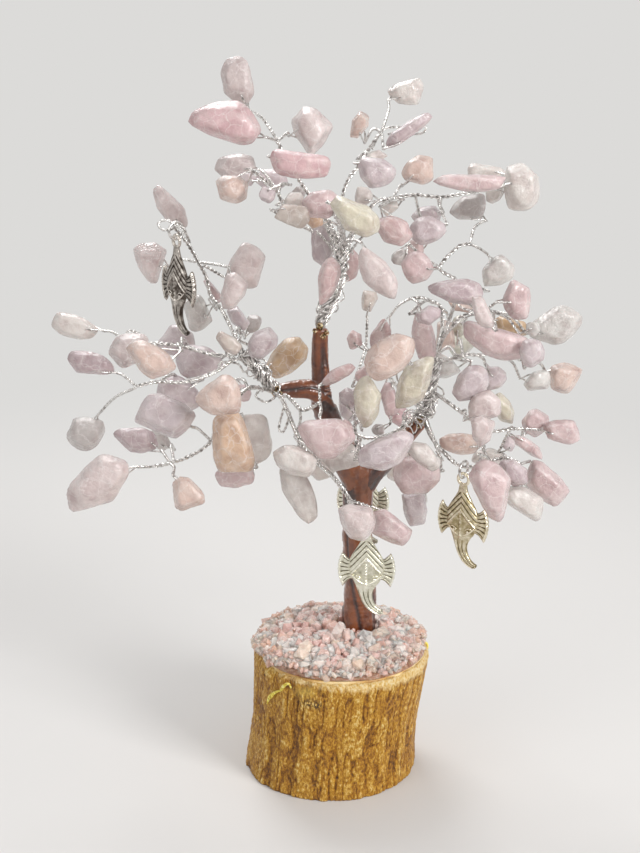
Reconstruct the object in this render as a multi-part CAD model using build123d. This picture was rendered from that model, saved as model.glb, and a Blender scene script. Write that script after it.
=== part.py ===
from build123d import *
import math
import os

import numpy as np

# A gemstone tree ornament: tumbled rose quartz chips on twisted silver wire, a moulded trunk,
# and a log slice topped with quartz gravel. Millimetres, +Z up, the viewer stands at -Y.
# The origin is the centre of the log's underside.
os.makedirs("parts", exist_ok=True)

# The reference view. A place is named by a pixel of the 640 x 853 picture and its real depth.
pixel_length = 0.28  # real length of one pixel at the tree's axis
focal_pixels = 1457
centre_pixel = (320, 426.5)
foot_pixel = (330, 757)  # the centre of the log's underside
view_tilt = math.radians(16.7)
crown_depth = 43.0  # how far the crown reaches in front of and behind the trunk

# The log slice
log_height = 37.0
log_foot_radius = 25.6
log_top_radius = 26.0
log_waist = 1.6  # how far the waist is drawn in
log_lean = 3.4  # the top's centre lies this far to the right of the underside's
bark_thickness = 2.0
bark_lip = 1.0  # the bark stands this far below the cut rim
furrow_depth = 0.7
glue_fit = 0.12  # clearance between pieces that are glued or pressed together
glue_rim = 1.2  # thickness of the glue bed at its rim
heap_rise = 3.0  # how much higher the bed stands at the trunk
gravel_size = 3.7
gravel_inset = 1.9
gravel_sink = 0.1

# The trunk and its arms
trunk_foot_radius = 5.0
trunk_middle_radius = 4.4
fork_radius = 4.9
arm_root_radius = 3.8
arm_radius = 2.8
arm_tip_radius = 2.3
trunk_sides = 8
foot_socket_depth = 9.0
bundle_socket_depth = 3.2

# Wire
bundle_seat_radius = 1.6
bundle_radius = 2.4
bundle_end_radius = 2.0
bundle_groove = 0.4
bundle_sides = 10
bundle_twist = 24
stem_radius = 0.55
rope_radius = 0.9
twig_radius = 0.4
wire_radius = 0.2
stem_sides = 4
twig_sides = 3
twig_bow_share = 0.06
bow_reach = 11.0  # a twig shorter than this is straight
start_step = 0.3
march_limit = 2.0  # a twig's end this close to the middle of its stem is near enough
march_reach = 5.0
twig_slides = (0.0, 1.2, 2.4)  # other places along the stem that a twig may leave
patience = 5.0  # how far a chip moves to bring its twig's end closer
hanger_length = 5.5
join_gap = 0.12  # a twig lies this close to the stem that it is twisted round
loop_reach = 2.1  # from a chip's end to where its wire is twisted
loop_clear = 0.45

# Chips
chip_thickness = 1.7
chip_thickness_share = 0.26  # added to the thickness, as a share of the chip's width
chip_thickest = 4.9
hole_radius = 0.55
hole_inset = 0.9
hole_inset_share = 0.1
hole_sides = 3
chip_gap = 0.35  # clearance round every chip
shift_step = 1.1
shift_limit = 30.0

# Elephant-head charms and their jump rings
charm_width = 16.2
charm_length = 24.5
charm_thickness = 2.6
ear_thickness = 0.9
bail_radius = 2.1
bail_hole_radius = 1.15
bail_thickness = 1.3
ring_radius = 2.3  # to the middle of the ring's wire
ring_wire_radius = 0.38
ring_clear = 0.1
overrun = 1.0

# Where the eye is, so that the foot's pixel at depth zero is the origin
eye_y = -focal_pixels * pixel_length * math.cos(view_tilt)


def sight(u, v):
    """Direction from the eye through a pixel, one unit long along the view."""
    right = (u - centre_pixel[0]) / focal_pixels
    up = (centre_pixel[1] - v) / focal_pixels
    cosine, sine = math.cos(view_tilt), math.sin(view_tilt)
    return np.array([right, cosine + up * sine, up * cosine - sine])


eye = sight(*foot_pixel) * eye_y / sight(*foot_pixel)[1]


def place(u, v, depth=0.0):
    """The real place seen at a pixel, at a real depth behind the tree's axis."""
    ray = sight(u, v)
    return eye + ray * (depth - eye_y) / ray[1]


def pixel_size(depth):
    """Real length of one pixel at a depth."""
    return pixel_length * (depth - eye_y) / -eye_y


def unit(vector):
    return vector / np.linalg.norm(vector)


# Flat-faced solids
def solid_of(corners, faces):
    """A closed solid from corner places and faces, each listed anticlockwise from outside."""
    sides = [Face(Wire.make_polygon([Vector(*corners[i]) for i in face])) for face in faces]
    return Solid(Shell(sides))


def rings_along(path, radii, sides, turn=0.0, lobes=None):
    """Rings of corners along a path, each in the mitre plane of its bend."""
    path = np.asarray(path, float)
    steps = np.diff(path, axis=0)
    steps /= np.linalg.norm(steps, axis=1)[:, None]
    helper = np.eye(3)[np.argmin(abs(steps[0]))]
    side = unit(np.cross(steps[0], helper))
    rings = []
    angles = np.arange(sides) * 2 * math.pi / sides
    spokes = np.outer(np.cos(angles), side) + np.outer(np.sin(angles), np.cross(steps[0], side))
    for k, point in enumerate(path):
        into, out = steps[max(k - 1, 0)], steps[min(k, len(steps) - 1)]
        mitre = unit(into + out)
        lean = spokes - np.outer(spokes @ mitre / (into @ mitre), into)
        radius = radii[k] if lobes is None else radii[k] - lobes[:, None]
        rings.append(point + radius * lean)
        flat = lean - np.outer(lean @ out, out)
        spokes = flat * math.cos(turn) + np.cross(out, flat) * math.sin(turn)
    return np.array(rings)


def skin(rings):
    """Corners and faces of the closed skin over a row of rings."""
    count, sides = len(rings), len(rings[0])
    faces = [list(range(sides))[::-1], list(range((count - 1) * sides, count * sides))]
    for k in range(count - 1):
        for s in range(sides):
            a, b = k * sides + s, k * sides + (s + 1) % sides
            faces += [[a, b, b + sides], [a, b + sides, a + sides]]
    return rings.reshape(-1, 3), faces


def hulls_of(rings):
    """The stretch between each two rings, as a set of corners."""
    return [np.concatenate(pair) for pair in zip(rings[:-1], rings[1:])]


def tube(path, radii, sides, turn=0.0, lobes=None):
    rings = rings_along(path, radii, sides, turn, lobes)
    return solid_of(*skin(rings)), hulls_of(rings)


# Room in the crown: every piece is remembered as convex sets of corners
corner_count = 24
room = {"corners": np.empty((0, corner_count, 3)), "low": np.empty((0, 3)), "high": np.empty((0, 3)),
        "owner": np.empty(0, dtype="U40")}


def take(hulls, owner):
    corners = np.array([np.resize(hull, (corner_count, 3)) for hull in hulls])
    room["corners"] = np.concatenate([room["corners"], corners])
    room["low"] = np.concatenate([room["low"], corners.min(axis=1)])
    room["high"] = np.concatenate([room["high"], corners.max(axis=1)])
    room["owner"] = np.concatenate([room["owner"], [owner] * len(hulls)])


def is_clear(hull, gap, skip=""):
    """True if a hull is surely this far from every piece taken, by closing in on the
    least distance between the two sets and keeping the best parting direction found."""
    low, high = hull.min(axis=0) - gap, hull.max(axis=0) + gap
    near = (room["low"] < high).all(axis=1) & (room["high"] > low).all(axis=1)
    near &= room["owner"] != skip
    others = room["corners"][near]
    if not len(others):
        return True
    across = hull.mean(axis=0) - others.mean(axis=1)
    best = np.full(len(others), -math.inf)
    for _ in range(36):
        length = np.linalg.norm(across, axis=1) + 1e-9
        along_own = hull @ across.T
        along_other = np.einsum("nij,nj->ni", others, across)
        own = hull[along_own.argmin(axis=0)]
        other = others[np.arange(len(others)), along_other.argmax(axis=1)]
        support = own - other
        best = np.maximum(best, (support * across).sum(axis=1) / length)
        if (best >= gap).all():
            return True
        stride = across - support
        share = (across * stride).sum(axis=1) / ((stride**2).sum(axis=1) + 1e-12)
        across = across - np.clip(share, 0, 1)[:, None] * stride
    return False


def all_clear(hulls, gap):
    return all(is_clear(hull, gap) for hull in hulls)


def shifts():
    """Trial moves along the line of sight: none, then ever further out and in."""
    yield 0.0
    for k in range(1, int(shift_limit / shift_step) + 1):
        yield k * shift_step
        yield -k * shift_step


# The log: bark, core, glue bed and gravel
furrow_sides = 45
log_centre = np.array([log_lean, 0.0, log_height])
profile_shares = ((0.0, 0.0), (0.12, 0.35), (0.42, 0.8), (0.8, 0.3), (1.0, 0.0))
furrow_shares = (0.0, 0.9, 0.2, 1.0, 0.4, 0.75, 0.1, 0.85, 0.35)


def log_ring(height_share, waist_share, inset, furrow):
    """One ring of the log: its radius drawn in at the waist, with upright furrows."""
    angles = np.arange(furrow_sides) * 2 * math.pi / furrow_sides
    radius = log_foot_radius + (log_top_radius - log_foot_radius) * height_share
    wave = np.resize(furrow_shares, furrow_sides) * furrow
    radii = radius - log_waist * waist_share - inset - wave
    ring = np.stack([np.cos(angles) * radii, np.sin(angles) * radii, 0 * radii], axis=1)
    return ring + log_centre * height_share


def log_solid(inset, furrow, top_share):
    rings = [log_ring(min(h, top_share), w, inset, furrow) for h, w in profile_shares]
    return solid_of(*skin(np.array(rings)))


def loft_rings(rings):
    return solid_of(*skin(np.array(rings)))


trunk_foot = place(360, 628)
core_inset = bark_thickness + glue_fit
core = log_solid(core_inset, 0.0, 1.0)
bark_hole = log_solid(bark_thickness, 0.0, 1.0)
bark = log_solid(0.0, furrow_depth, 1.0 - bark_lip / log_height) - bark_hole
socket_floor = trunk_foot * (1, 1, 0) + (0, 0, log_height - foot_socket_depth)
socket_top = trunk_foot + (0, 0, overrun)
socket_radius = trunk_foot_radius / math.cos(math.pi / trunk_sides) + glue_fit
socket, _ = tube([socket_floor, socket_top], [socket_radius] * 2, trunk_sides)
core = core - socket

bed_sides = 16


def bed_ring(radius_share, height):
    """A ring of the glue bed, drawn in from the log's rim towards the trunk."""
    angles = np.arange(bed_sides) * 2 * math.pi / bed_sides
    reach = (log_top_radius - bark_thickness) * radius_share
    middle = log_centre + (trunk_foot - log_centre) * (1 - radius_share)
    ring = np.stack([np.cos(angles) * reach, np.sin(angles) * reach, 0 * angles], axis=1)
    return ring + (middle[0], middle[1], log_height + height)


bed_share_heights = ((0.97, 0.0), (0.97, 1.0), (0.68, 0.55), (0.3, 1.0))
bed_heights = (glue_fit, glue_rim, glue_rim + heap_rise * 0.6, glue_rim + heap_rise)
bed_rings = [bed_ring(share[0], height) for share, height in zip(bed_share_heights, bed_heights)]
glue_bed = loft_rings(bed_rings) - socket


def bed_height(reach_share):
    """Height of the bed's upper side at a share of its reach."""
    shares = [share[0] for share in bed_share_heights[:0:-1]]
    return log_height + float(np.interp(reach_share, shares, bed_heights[:0:-1]))


stone_form_shares = np.array(
    [[1, -0.3, 0.1], [0.2, 0.9, 0], [-0.95, 0.1, 0.15], [0.1, 0, 0.95], [0, -0.9, 0.3]]
)
stone_faces = [[0, 1, 3], [1, 2, 3], [2, 4, 3], [4, 0, 3], [1, 0, 4], [2, 1, 4]]


def gravel_stone(x, y, z, turn, size):
    """A crushed stone with six faces, its lower side just above the bed."""
    cosine, sine = math.cos(turn), math.sin(turn)
    spin = np.array([[cosine, sine, 0], [-sine, cosine, 0], [0, 0, 1]])
    form = stone_form_shares @ spin * size / 2
    lift = z - form[:, 2].min() + gravel_sink
    return solid_of(form + (x, y, lift), stone_faces)


# Rings of stones round the trunk, each ring half a stone out of step with the last
gravel = []
ring_count = int((log_top_radius - trunk_foot_radius - gravel_inset) / gravel_size)
for ring in range(ring_count):
    share = 1 - (ring * gravel_size + gravel_inset) / log_top_radius
    reach = log_top_radius * share
    middle = log_centre + (trunk_foot - log_centre) * (1 - share)
    number = int(2 * math.pi * reach / (gravel_size * 1.22))
    for k in range(number):
        angle = (k + 0.5 * (ring % 2)) * 2 * math.pi / number
        x, y = middle[0] + math.cos(angle) * reach, middle[1] + math.sin(angle) * reach
        if math.hypot(x - trunk_foot[0], y - trunk_foot[1]) < trunk_foot_radius + gravel_size * 0.6:
            continue
        height = bed_height(min(share + gravel_size / log_top_radius / 2, 0.97))
        size = gravel_size * (0.86 + 0.14 * math.cos(5.3 * k + ring))
        gravel.append(gravel_stone(x, y, height + glue_fit + heap_rise * 0.12, 2.1 * k + ring, size))


# The trunk: tubes along hand-read routes, fused into one moulding
def route(points):
    """Real places of a row of pixels with depths given as shares of the crown's depth."""
    return [place(u, v, share * crown_depth) for u, v, share in points]


post = [socket_floor + (0, 0, glue_fit)] + route(
    [(360, 628, 0), (360, 590, 0), (359, 545, 0), (358, 505, 0), (358, 478, 0), (356, 466, 0)]
)
post_radii = [trunk_foot_radius] * 2 + [trunk_middle_radius] * 3 + [fork_radius, trunk_middle_radius]
arms = {
    "lower": ([(357, 484, 0), (342, 452, 0), (329, 422, 0), (322, 400, 0), (321, 384, 0)],
              [trunk_middle_radius, fork_radius, arm_root_radius, arm_root_radius, arm_radius]),
    "top": ([(322, 402, 0), (320, 378, 0), (320, 352, 0), (320, 329, 0)],
            [arm_root_radius, arm_radius, arm_radius, arm_tip_radius]),
    "left": ([(326, 400, 0), (312, 391, -0.03), (294, 390, -0.06), (278, 391, -0.1)],
             [arm_radius, arm_radius, arm_radius, arm_tip_radius]),
    "right": ([(360, 484, 0.0), (378, 464, 0.06), (400, 442, 0.1), (420, 422, 0.12)],
              [trunk_middle_radius, arm_root_radius, arm_radius, arm_tip_radius]),
}
bundle_routes = {
    "top": [(323, 316, 0), (332, 299, 0), (339, 280, 0), (342, 262, 0), (344, 248, 0)],
    "left": [(268, 384, -0.11), (259, 371, -0.12), (249, 360, -0.12), (240, 354, -0.12)],
    "right": [(427, 408, 0.12), (430, 392, 0.1), (433, 376, 0.08), (435, 360, 0.05)],
}
trunk, trunk_hulls = tube(post, post_radii, trunk_sides)
arm_paths = {}
for name, (points, radii) in arms.items():
    arm_paths[name] = route(points)
    arm, arm_hulls = tube(arm_paths[name], radii, trunk_sides)
    trunk = trunk + arm
    trunk_hulls += arm_hulls

bundles = {}
bundle_paths = {}
for name, points in bundle_routes.items():
    tip, before = arm_paths[name][-1], arm_paths[name][-2]
    ahead = unit(tip - before)
    seat = tip - ahead * bundle_socket_depth
    mouth = tip + ahead * overrun
    bore, _ = tube([seat, mouth], [bundle_seat_radius + glue_fit] * 2, bundle_sides)
    trunk = trunk - bore
    bundle_paths[name] = [seat + ahead * glue_fit, mouth] + route(points)
    swell = len(points) - 2
    radii = [bundle_seat_radius] * 2 + [bundle_radius] * (swell + 1) + [bundle_end_radius]
    grooves = np.resize([0.0, bundle_groove], bundle_sides)
    twist = math.radians(bundle_twist)
    bundles[name], hulls = tube(bundle_paths[name], radii, bundle_sides, twist, grooves)
    take(hulls[1:], "bundle_" + name)
take(trunk_hulls, "trunk")
take([log_ring(1.0, 0, 0, 0)[::2] + (0, 0, heap_rise + gravel_size)], "log")


# Elephant-head charms: an oval head that runs down into the curled trunk, two fan ears, a bail
def charm_rings():
    """Eight-cornered rings down the head and trunk; each row of shares gives a ring's middle
    (across, down) and its half width and half depth."""
    rings = []
    middles = [np.array([x * charm_width, 0, -z * charm_length]) for x, z, _, _ in head_shares]
    for k, (_, _, wide, deep) in enumerate(head_shares):
        along = unit(middles[min(k + 1, len(middles) - 1)] - middles[max(k - 1, 0)])
        across = unit(np.cross([0, 1, 0], along))
        angles = np.arange(8) * math.pi / 4
        ring = middles[k] + np.outer(np.cos(angles) * wide * charm_width, across)
        rings.append(ring + np.outer(np.sin(angles) * deep * charm_thickness, [0, -1, 0]))
    return np.array(rings)


head_shares = (
    (0.0, 0.065, 0.055, 0.24), (0.0, 0.2, 0.11, 0.36), (0.0, 0.31, 0.24, 0.46), (0.0, 0.44, 0.3, 0.5),
    (0.0, 0.57, 0.28, 0.46), (0.02, 0.66, 0.19, 0.42), (0.06, 0.74, 0.11, 0.38), (0.08, 0.83, 0.09, 0.33),
    (0.15, 0.93, 0.07, 0.27), (0.28, 1.0, 0.05, 0.2),
)
ear_shares = ((0.2, 0.36), (0.42, 0.31), (0.48, 0.37), (0.5, 0.46), (0.49, 0.55), (0.46, 0.63), (0.4, 0.69),
              (0.2, 0.6))


def make_charm():
    rings = charm_rings()
    corners, faces = skin(rings)
    body = solid_of(corners, [face[::-1] for face in faces])
    if body.volume < 0:
        body = solid_of(corners, faces)
    for side in (-1, 1):
        outline = [Vector(side * x * charm_width, ear_thickness / 2, -z * charm_length)
                   for x, z in ear_shares]
        body = body + Solid.extrude(Face(Wire.make_polygon(outline)), Vector(0, -ear_thickness, 0))
    eye_plane = Plane((0, bail_thickness / 2, 0), x_dir=(1, 0, 0), z_dir=(0, -1, 0))
    bail = extrude(eye_plane * RegularPolygon(bail_radius, 12), bail_thickness)
    hole_plane = eye_plane.offset(-overrun)
    hole = extrude(hole_plane * RegularPolygon(bail_hole_radius, 8), bail_thickness + 2 * overrun)
    return (body + bail) - hole


def make_ring():
    """A jump ring in the YZ plane round its own middle."""
    angles = np.arange(10) * math.pi / 5
    spokes = np.stack([0 * angles, np.cos(angles), np.sin(angles)], axis=1)
    corners = [spoke * (ring_radius + ring_wire_radius * a) + (ring_wire_radius * b, 0, 0)
               for spoke in spokes for a, b in ((1, 0), (0, 1), (-1, 0), (0, -1))]
    faces = []
    for k in range(10):
        for s in range(4):
            a, b = 4 * k + s, 4 * k + (s + 1) % 4
            c, d = (a + 4) % 40, (b + 4) % 40
            faces.append([a, c, d, b])
    ring = solid_of(corners, faces)
    return ring if ring.volume > 0 else solid_of(corners, [face[::-1] for face in faces])


# Where each charm hangs: the pixel and depth share of its wire, its turn, and how far its ring
# swings to and fro and the charm from side to side, in degrees
hangers = {
    "left": (176, 226, 0.0, -52, 20, 14),
    "front": (367, 514, -0.42, -5, 20, 16),
    "right": (464, 465, -0.3, -35, 22, 16),
    "back": (363, 449, 0.42, -12, 20, 16),
}


def spin(points, angle, axis):
    """Points turned about an axis through zero: 0 is X, 1 is Y, 2 is Z."""
    cosine, sine = math.cos(angle), math.sin(angle)
    i, j = (axis + 1) % 3, (axis + 2) % 3
    turned = np.array(points, float)
    turned[:, i] = points[:, i] * cosine - points[:, j] * sine
    turned[:, j] = points[:, i] * sine + points[:, j] * cosine
    return turned


ring_drop = ring_radius - ring_wire_radius - stem_radius - ring_clear  # ring's middle below the wire
bail_drop = (bail_hole_radius - 2 * ring_clear) * math.cos(math.pi / 8) - ring_wire_radius
charm_parts = [
    charm_rings()[:4].reshape(-1, 3)[::2],
    np.array([(x * charm_width, y * charm_thickness, -z * charm_length)
              for x in (-0.5, 0.5) for y in (-0.5, 0.5) for z in (0.3, 0.7)]),
    charm_rings()[5:].reshape(-1, 3)[::5],
]
charm_model, ring_model = make_charm(), make_ring()
charms, jump_rings, hanger_ends = {}, {}, {}
for name, (u, v, share, turn, fore_swing, side_swing) in hangers.items():
    wire = place(u, v, share * crown_depth)
    heading = math.radians(turn)
    along = np.array([math.cos(heading), math.sin(heading), 0])
    hanger_ends[name] = [wire - along * hanger_length / 2, wire + along * hanger_length / 2]
    ring_middle = wire - (0, 0, ring_drop)
    seat = ring_middle - (0, 0, ring_radius)
    charm_top = seat - (0, 0, bail_drop)
    jump_rings[name] = Pos(*ring_middle) * Rot(0, 0, turn) * ring_model
    charms[name] = Pos(*charm_top) * Rot(0, 0, turn) * charm_model
    across = np.array([-along[1], along[0], 0])
    print(name, "ring hinge", (wire / 1000).round(5).tolist(), along.round(5).tolist(), fore_swing)
    print(name, "charm hinge", (seat / 1000).round(5).tolist(), across.round(5).tolist(), side_swing)
    fore, aside = math.radians(fore_swing), math.radians(side_swing)
    for part in charm_parts:
        for lean in (-aside, 0, aside):
            hung = spin(part - (0, 0, bail_drop), lean, 1) - (0, 0, ring_drop + ring_radius)
            sweep = np.concatenate([spin(hung, swing, 0) for swing in (-fore, 0, fore)])
            take([spin(sweep, heading, 2)[:corner_count] + wire], "charm_" + name)
    hoop = np.array([(x, ring_radius * math.cos(a), ring_radius * math.sin(a) - ring_drop)
                     for x in (-ring_wire_radius, ring_wire_radius) for a in np.arange(8) * math.pi / 4])
    take([spin(hoop * (1, 1.2, 1.1), heading, 2) + wire], "charm_" + name)


# Chips: outlines as shares of a chip's length (from the drilled end) and width
chip_forms = {
    "leaf": [(0, -0.12), (0.42, -0.5), (0.98, -0.14), (0.6, 0.5), (0.04, 0.22)],
    "block": [(0, -0.32), (0.3, -0.5), (0.9, -0.44), (1, 0.06), (0.8, 0.5), (0.06, 0.4)],
    "wedge": [(0, -0.17), (0.68, -0.5), (1, -0.38), (0.9, 0.5), (0, 0.2)],
    "round": [(0, -0.2), (0.28, -0.5), (0.8, -0.44), (1, 0), (0.72, 0.5), (0.16, 0.42)],
    "pebble": [(0, -0.1), (0.4, -0.5), (0.95, -0.34), (0.9, 0.4), (0.24, 0.5)],
    "drop": [(0, -0.14), (0.6, -0.5), (0.93, -0.36), (1, 0.12), (0.72, 0.5), (0.02, 0.16)],
    "dart": [(0, -0.26), (0.26, -0.5), (0.8, -0.26), (1, 0.04), (0.6, 0.4), (0.1, 0.5)],
}
face_shares = ((0.64, 0.03, -0.02), (0.7, -0.02, 0.03))  # size and offset of the two flat faces
roll_degrees = (18, -32, 36, -12, 26, -38, 8, 34, -22)
lean_share = 0.55  # how much a chip in front or behind points away from the trunk
thin_shares = (1.0, 0.86, 1.16, 0.94)


def chip_frame(neck, tip, roll):
    """Directions along, across and out of a chip's flat face, turned about its length."""
    ahead = unit(tip - neck)
    toward = unit(eye - neck)
    out = unit(toward - ahead * (toward @ ahead))
    across = np.cross(out, ahead)
    cosine, sine = math.cos(roll), math.sin(roll)
    return ahead, across * cosine - out * sine, out * cosine + across * sine


def chip_rings(neck, tip, width, form, thickness, frame):
    """The corners of the flat face behind, of the rim and of the flat face in front."""
    ahead, across, out = frame
    length = np.linalg.norm(tip - neck)
    shares = np.array(chip_forms[form])
    rings = []
    for (size, slide, slip), height in ((face_shares[0], -0.5), ((1, 0, 0), 0), (face_shares[1], 0.5)):
        x = (shares[:, 0] - 0.5) * size + 0.5 + slide * (height != 0)
        y = shares[:, 1] * size + slip * (height != 0)
        rings.append(neck + np.outer(x * length, ahead) + np.outer(y * width, across)
                     + height * thickness * out)
    return np.array(rings)


def make_chip(rings, drill_at, frame, thickness):
    """The chip's flat-faced body with a drilled hole near one end."""
    corners = rings.reshape(-1, 3)
    sides = rings.shape[1]
    faces = [list(range(sides))[::-1], list(range(2 * sides, 3 * sides))]
    for k in range(2):
        for s in range(sides):
            a, b = k * sides + s, k * sides + (s + 1) % sides
            faces.append([a, b, b + sides, a + sides])
    body = solid_of(corners, faces)
    reach = frame[2] * (thickness / 2 + overrun)
    drill, _ = tube([drill_at - reach, drill_at + reach], [hole_radius] * 2, hole_sides)
    return body - drill


def wire_loop(neck, frame, thickness, inset, arrives):
    """The single wire: from the twist, through the chip's hole and back."""
    ahead, _, out = frame
    if arrives @ out < 0:
        out = -out
    height = thickness / 2 + loop_clear
    gather = neck - ahead * loop_reach
    hole = neck + ahead * inset
    back = gather + ahead * loop_reach * 0.42 - out * (twig_radius + wire_radius + join_gap)
    return [gather, hole + out * height, hole - out * height, back]


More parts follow.
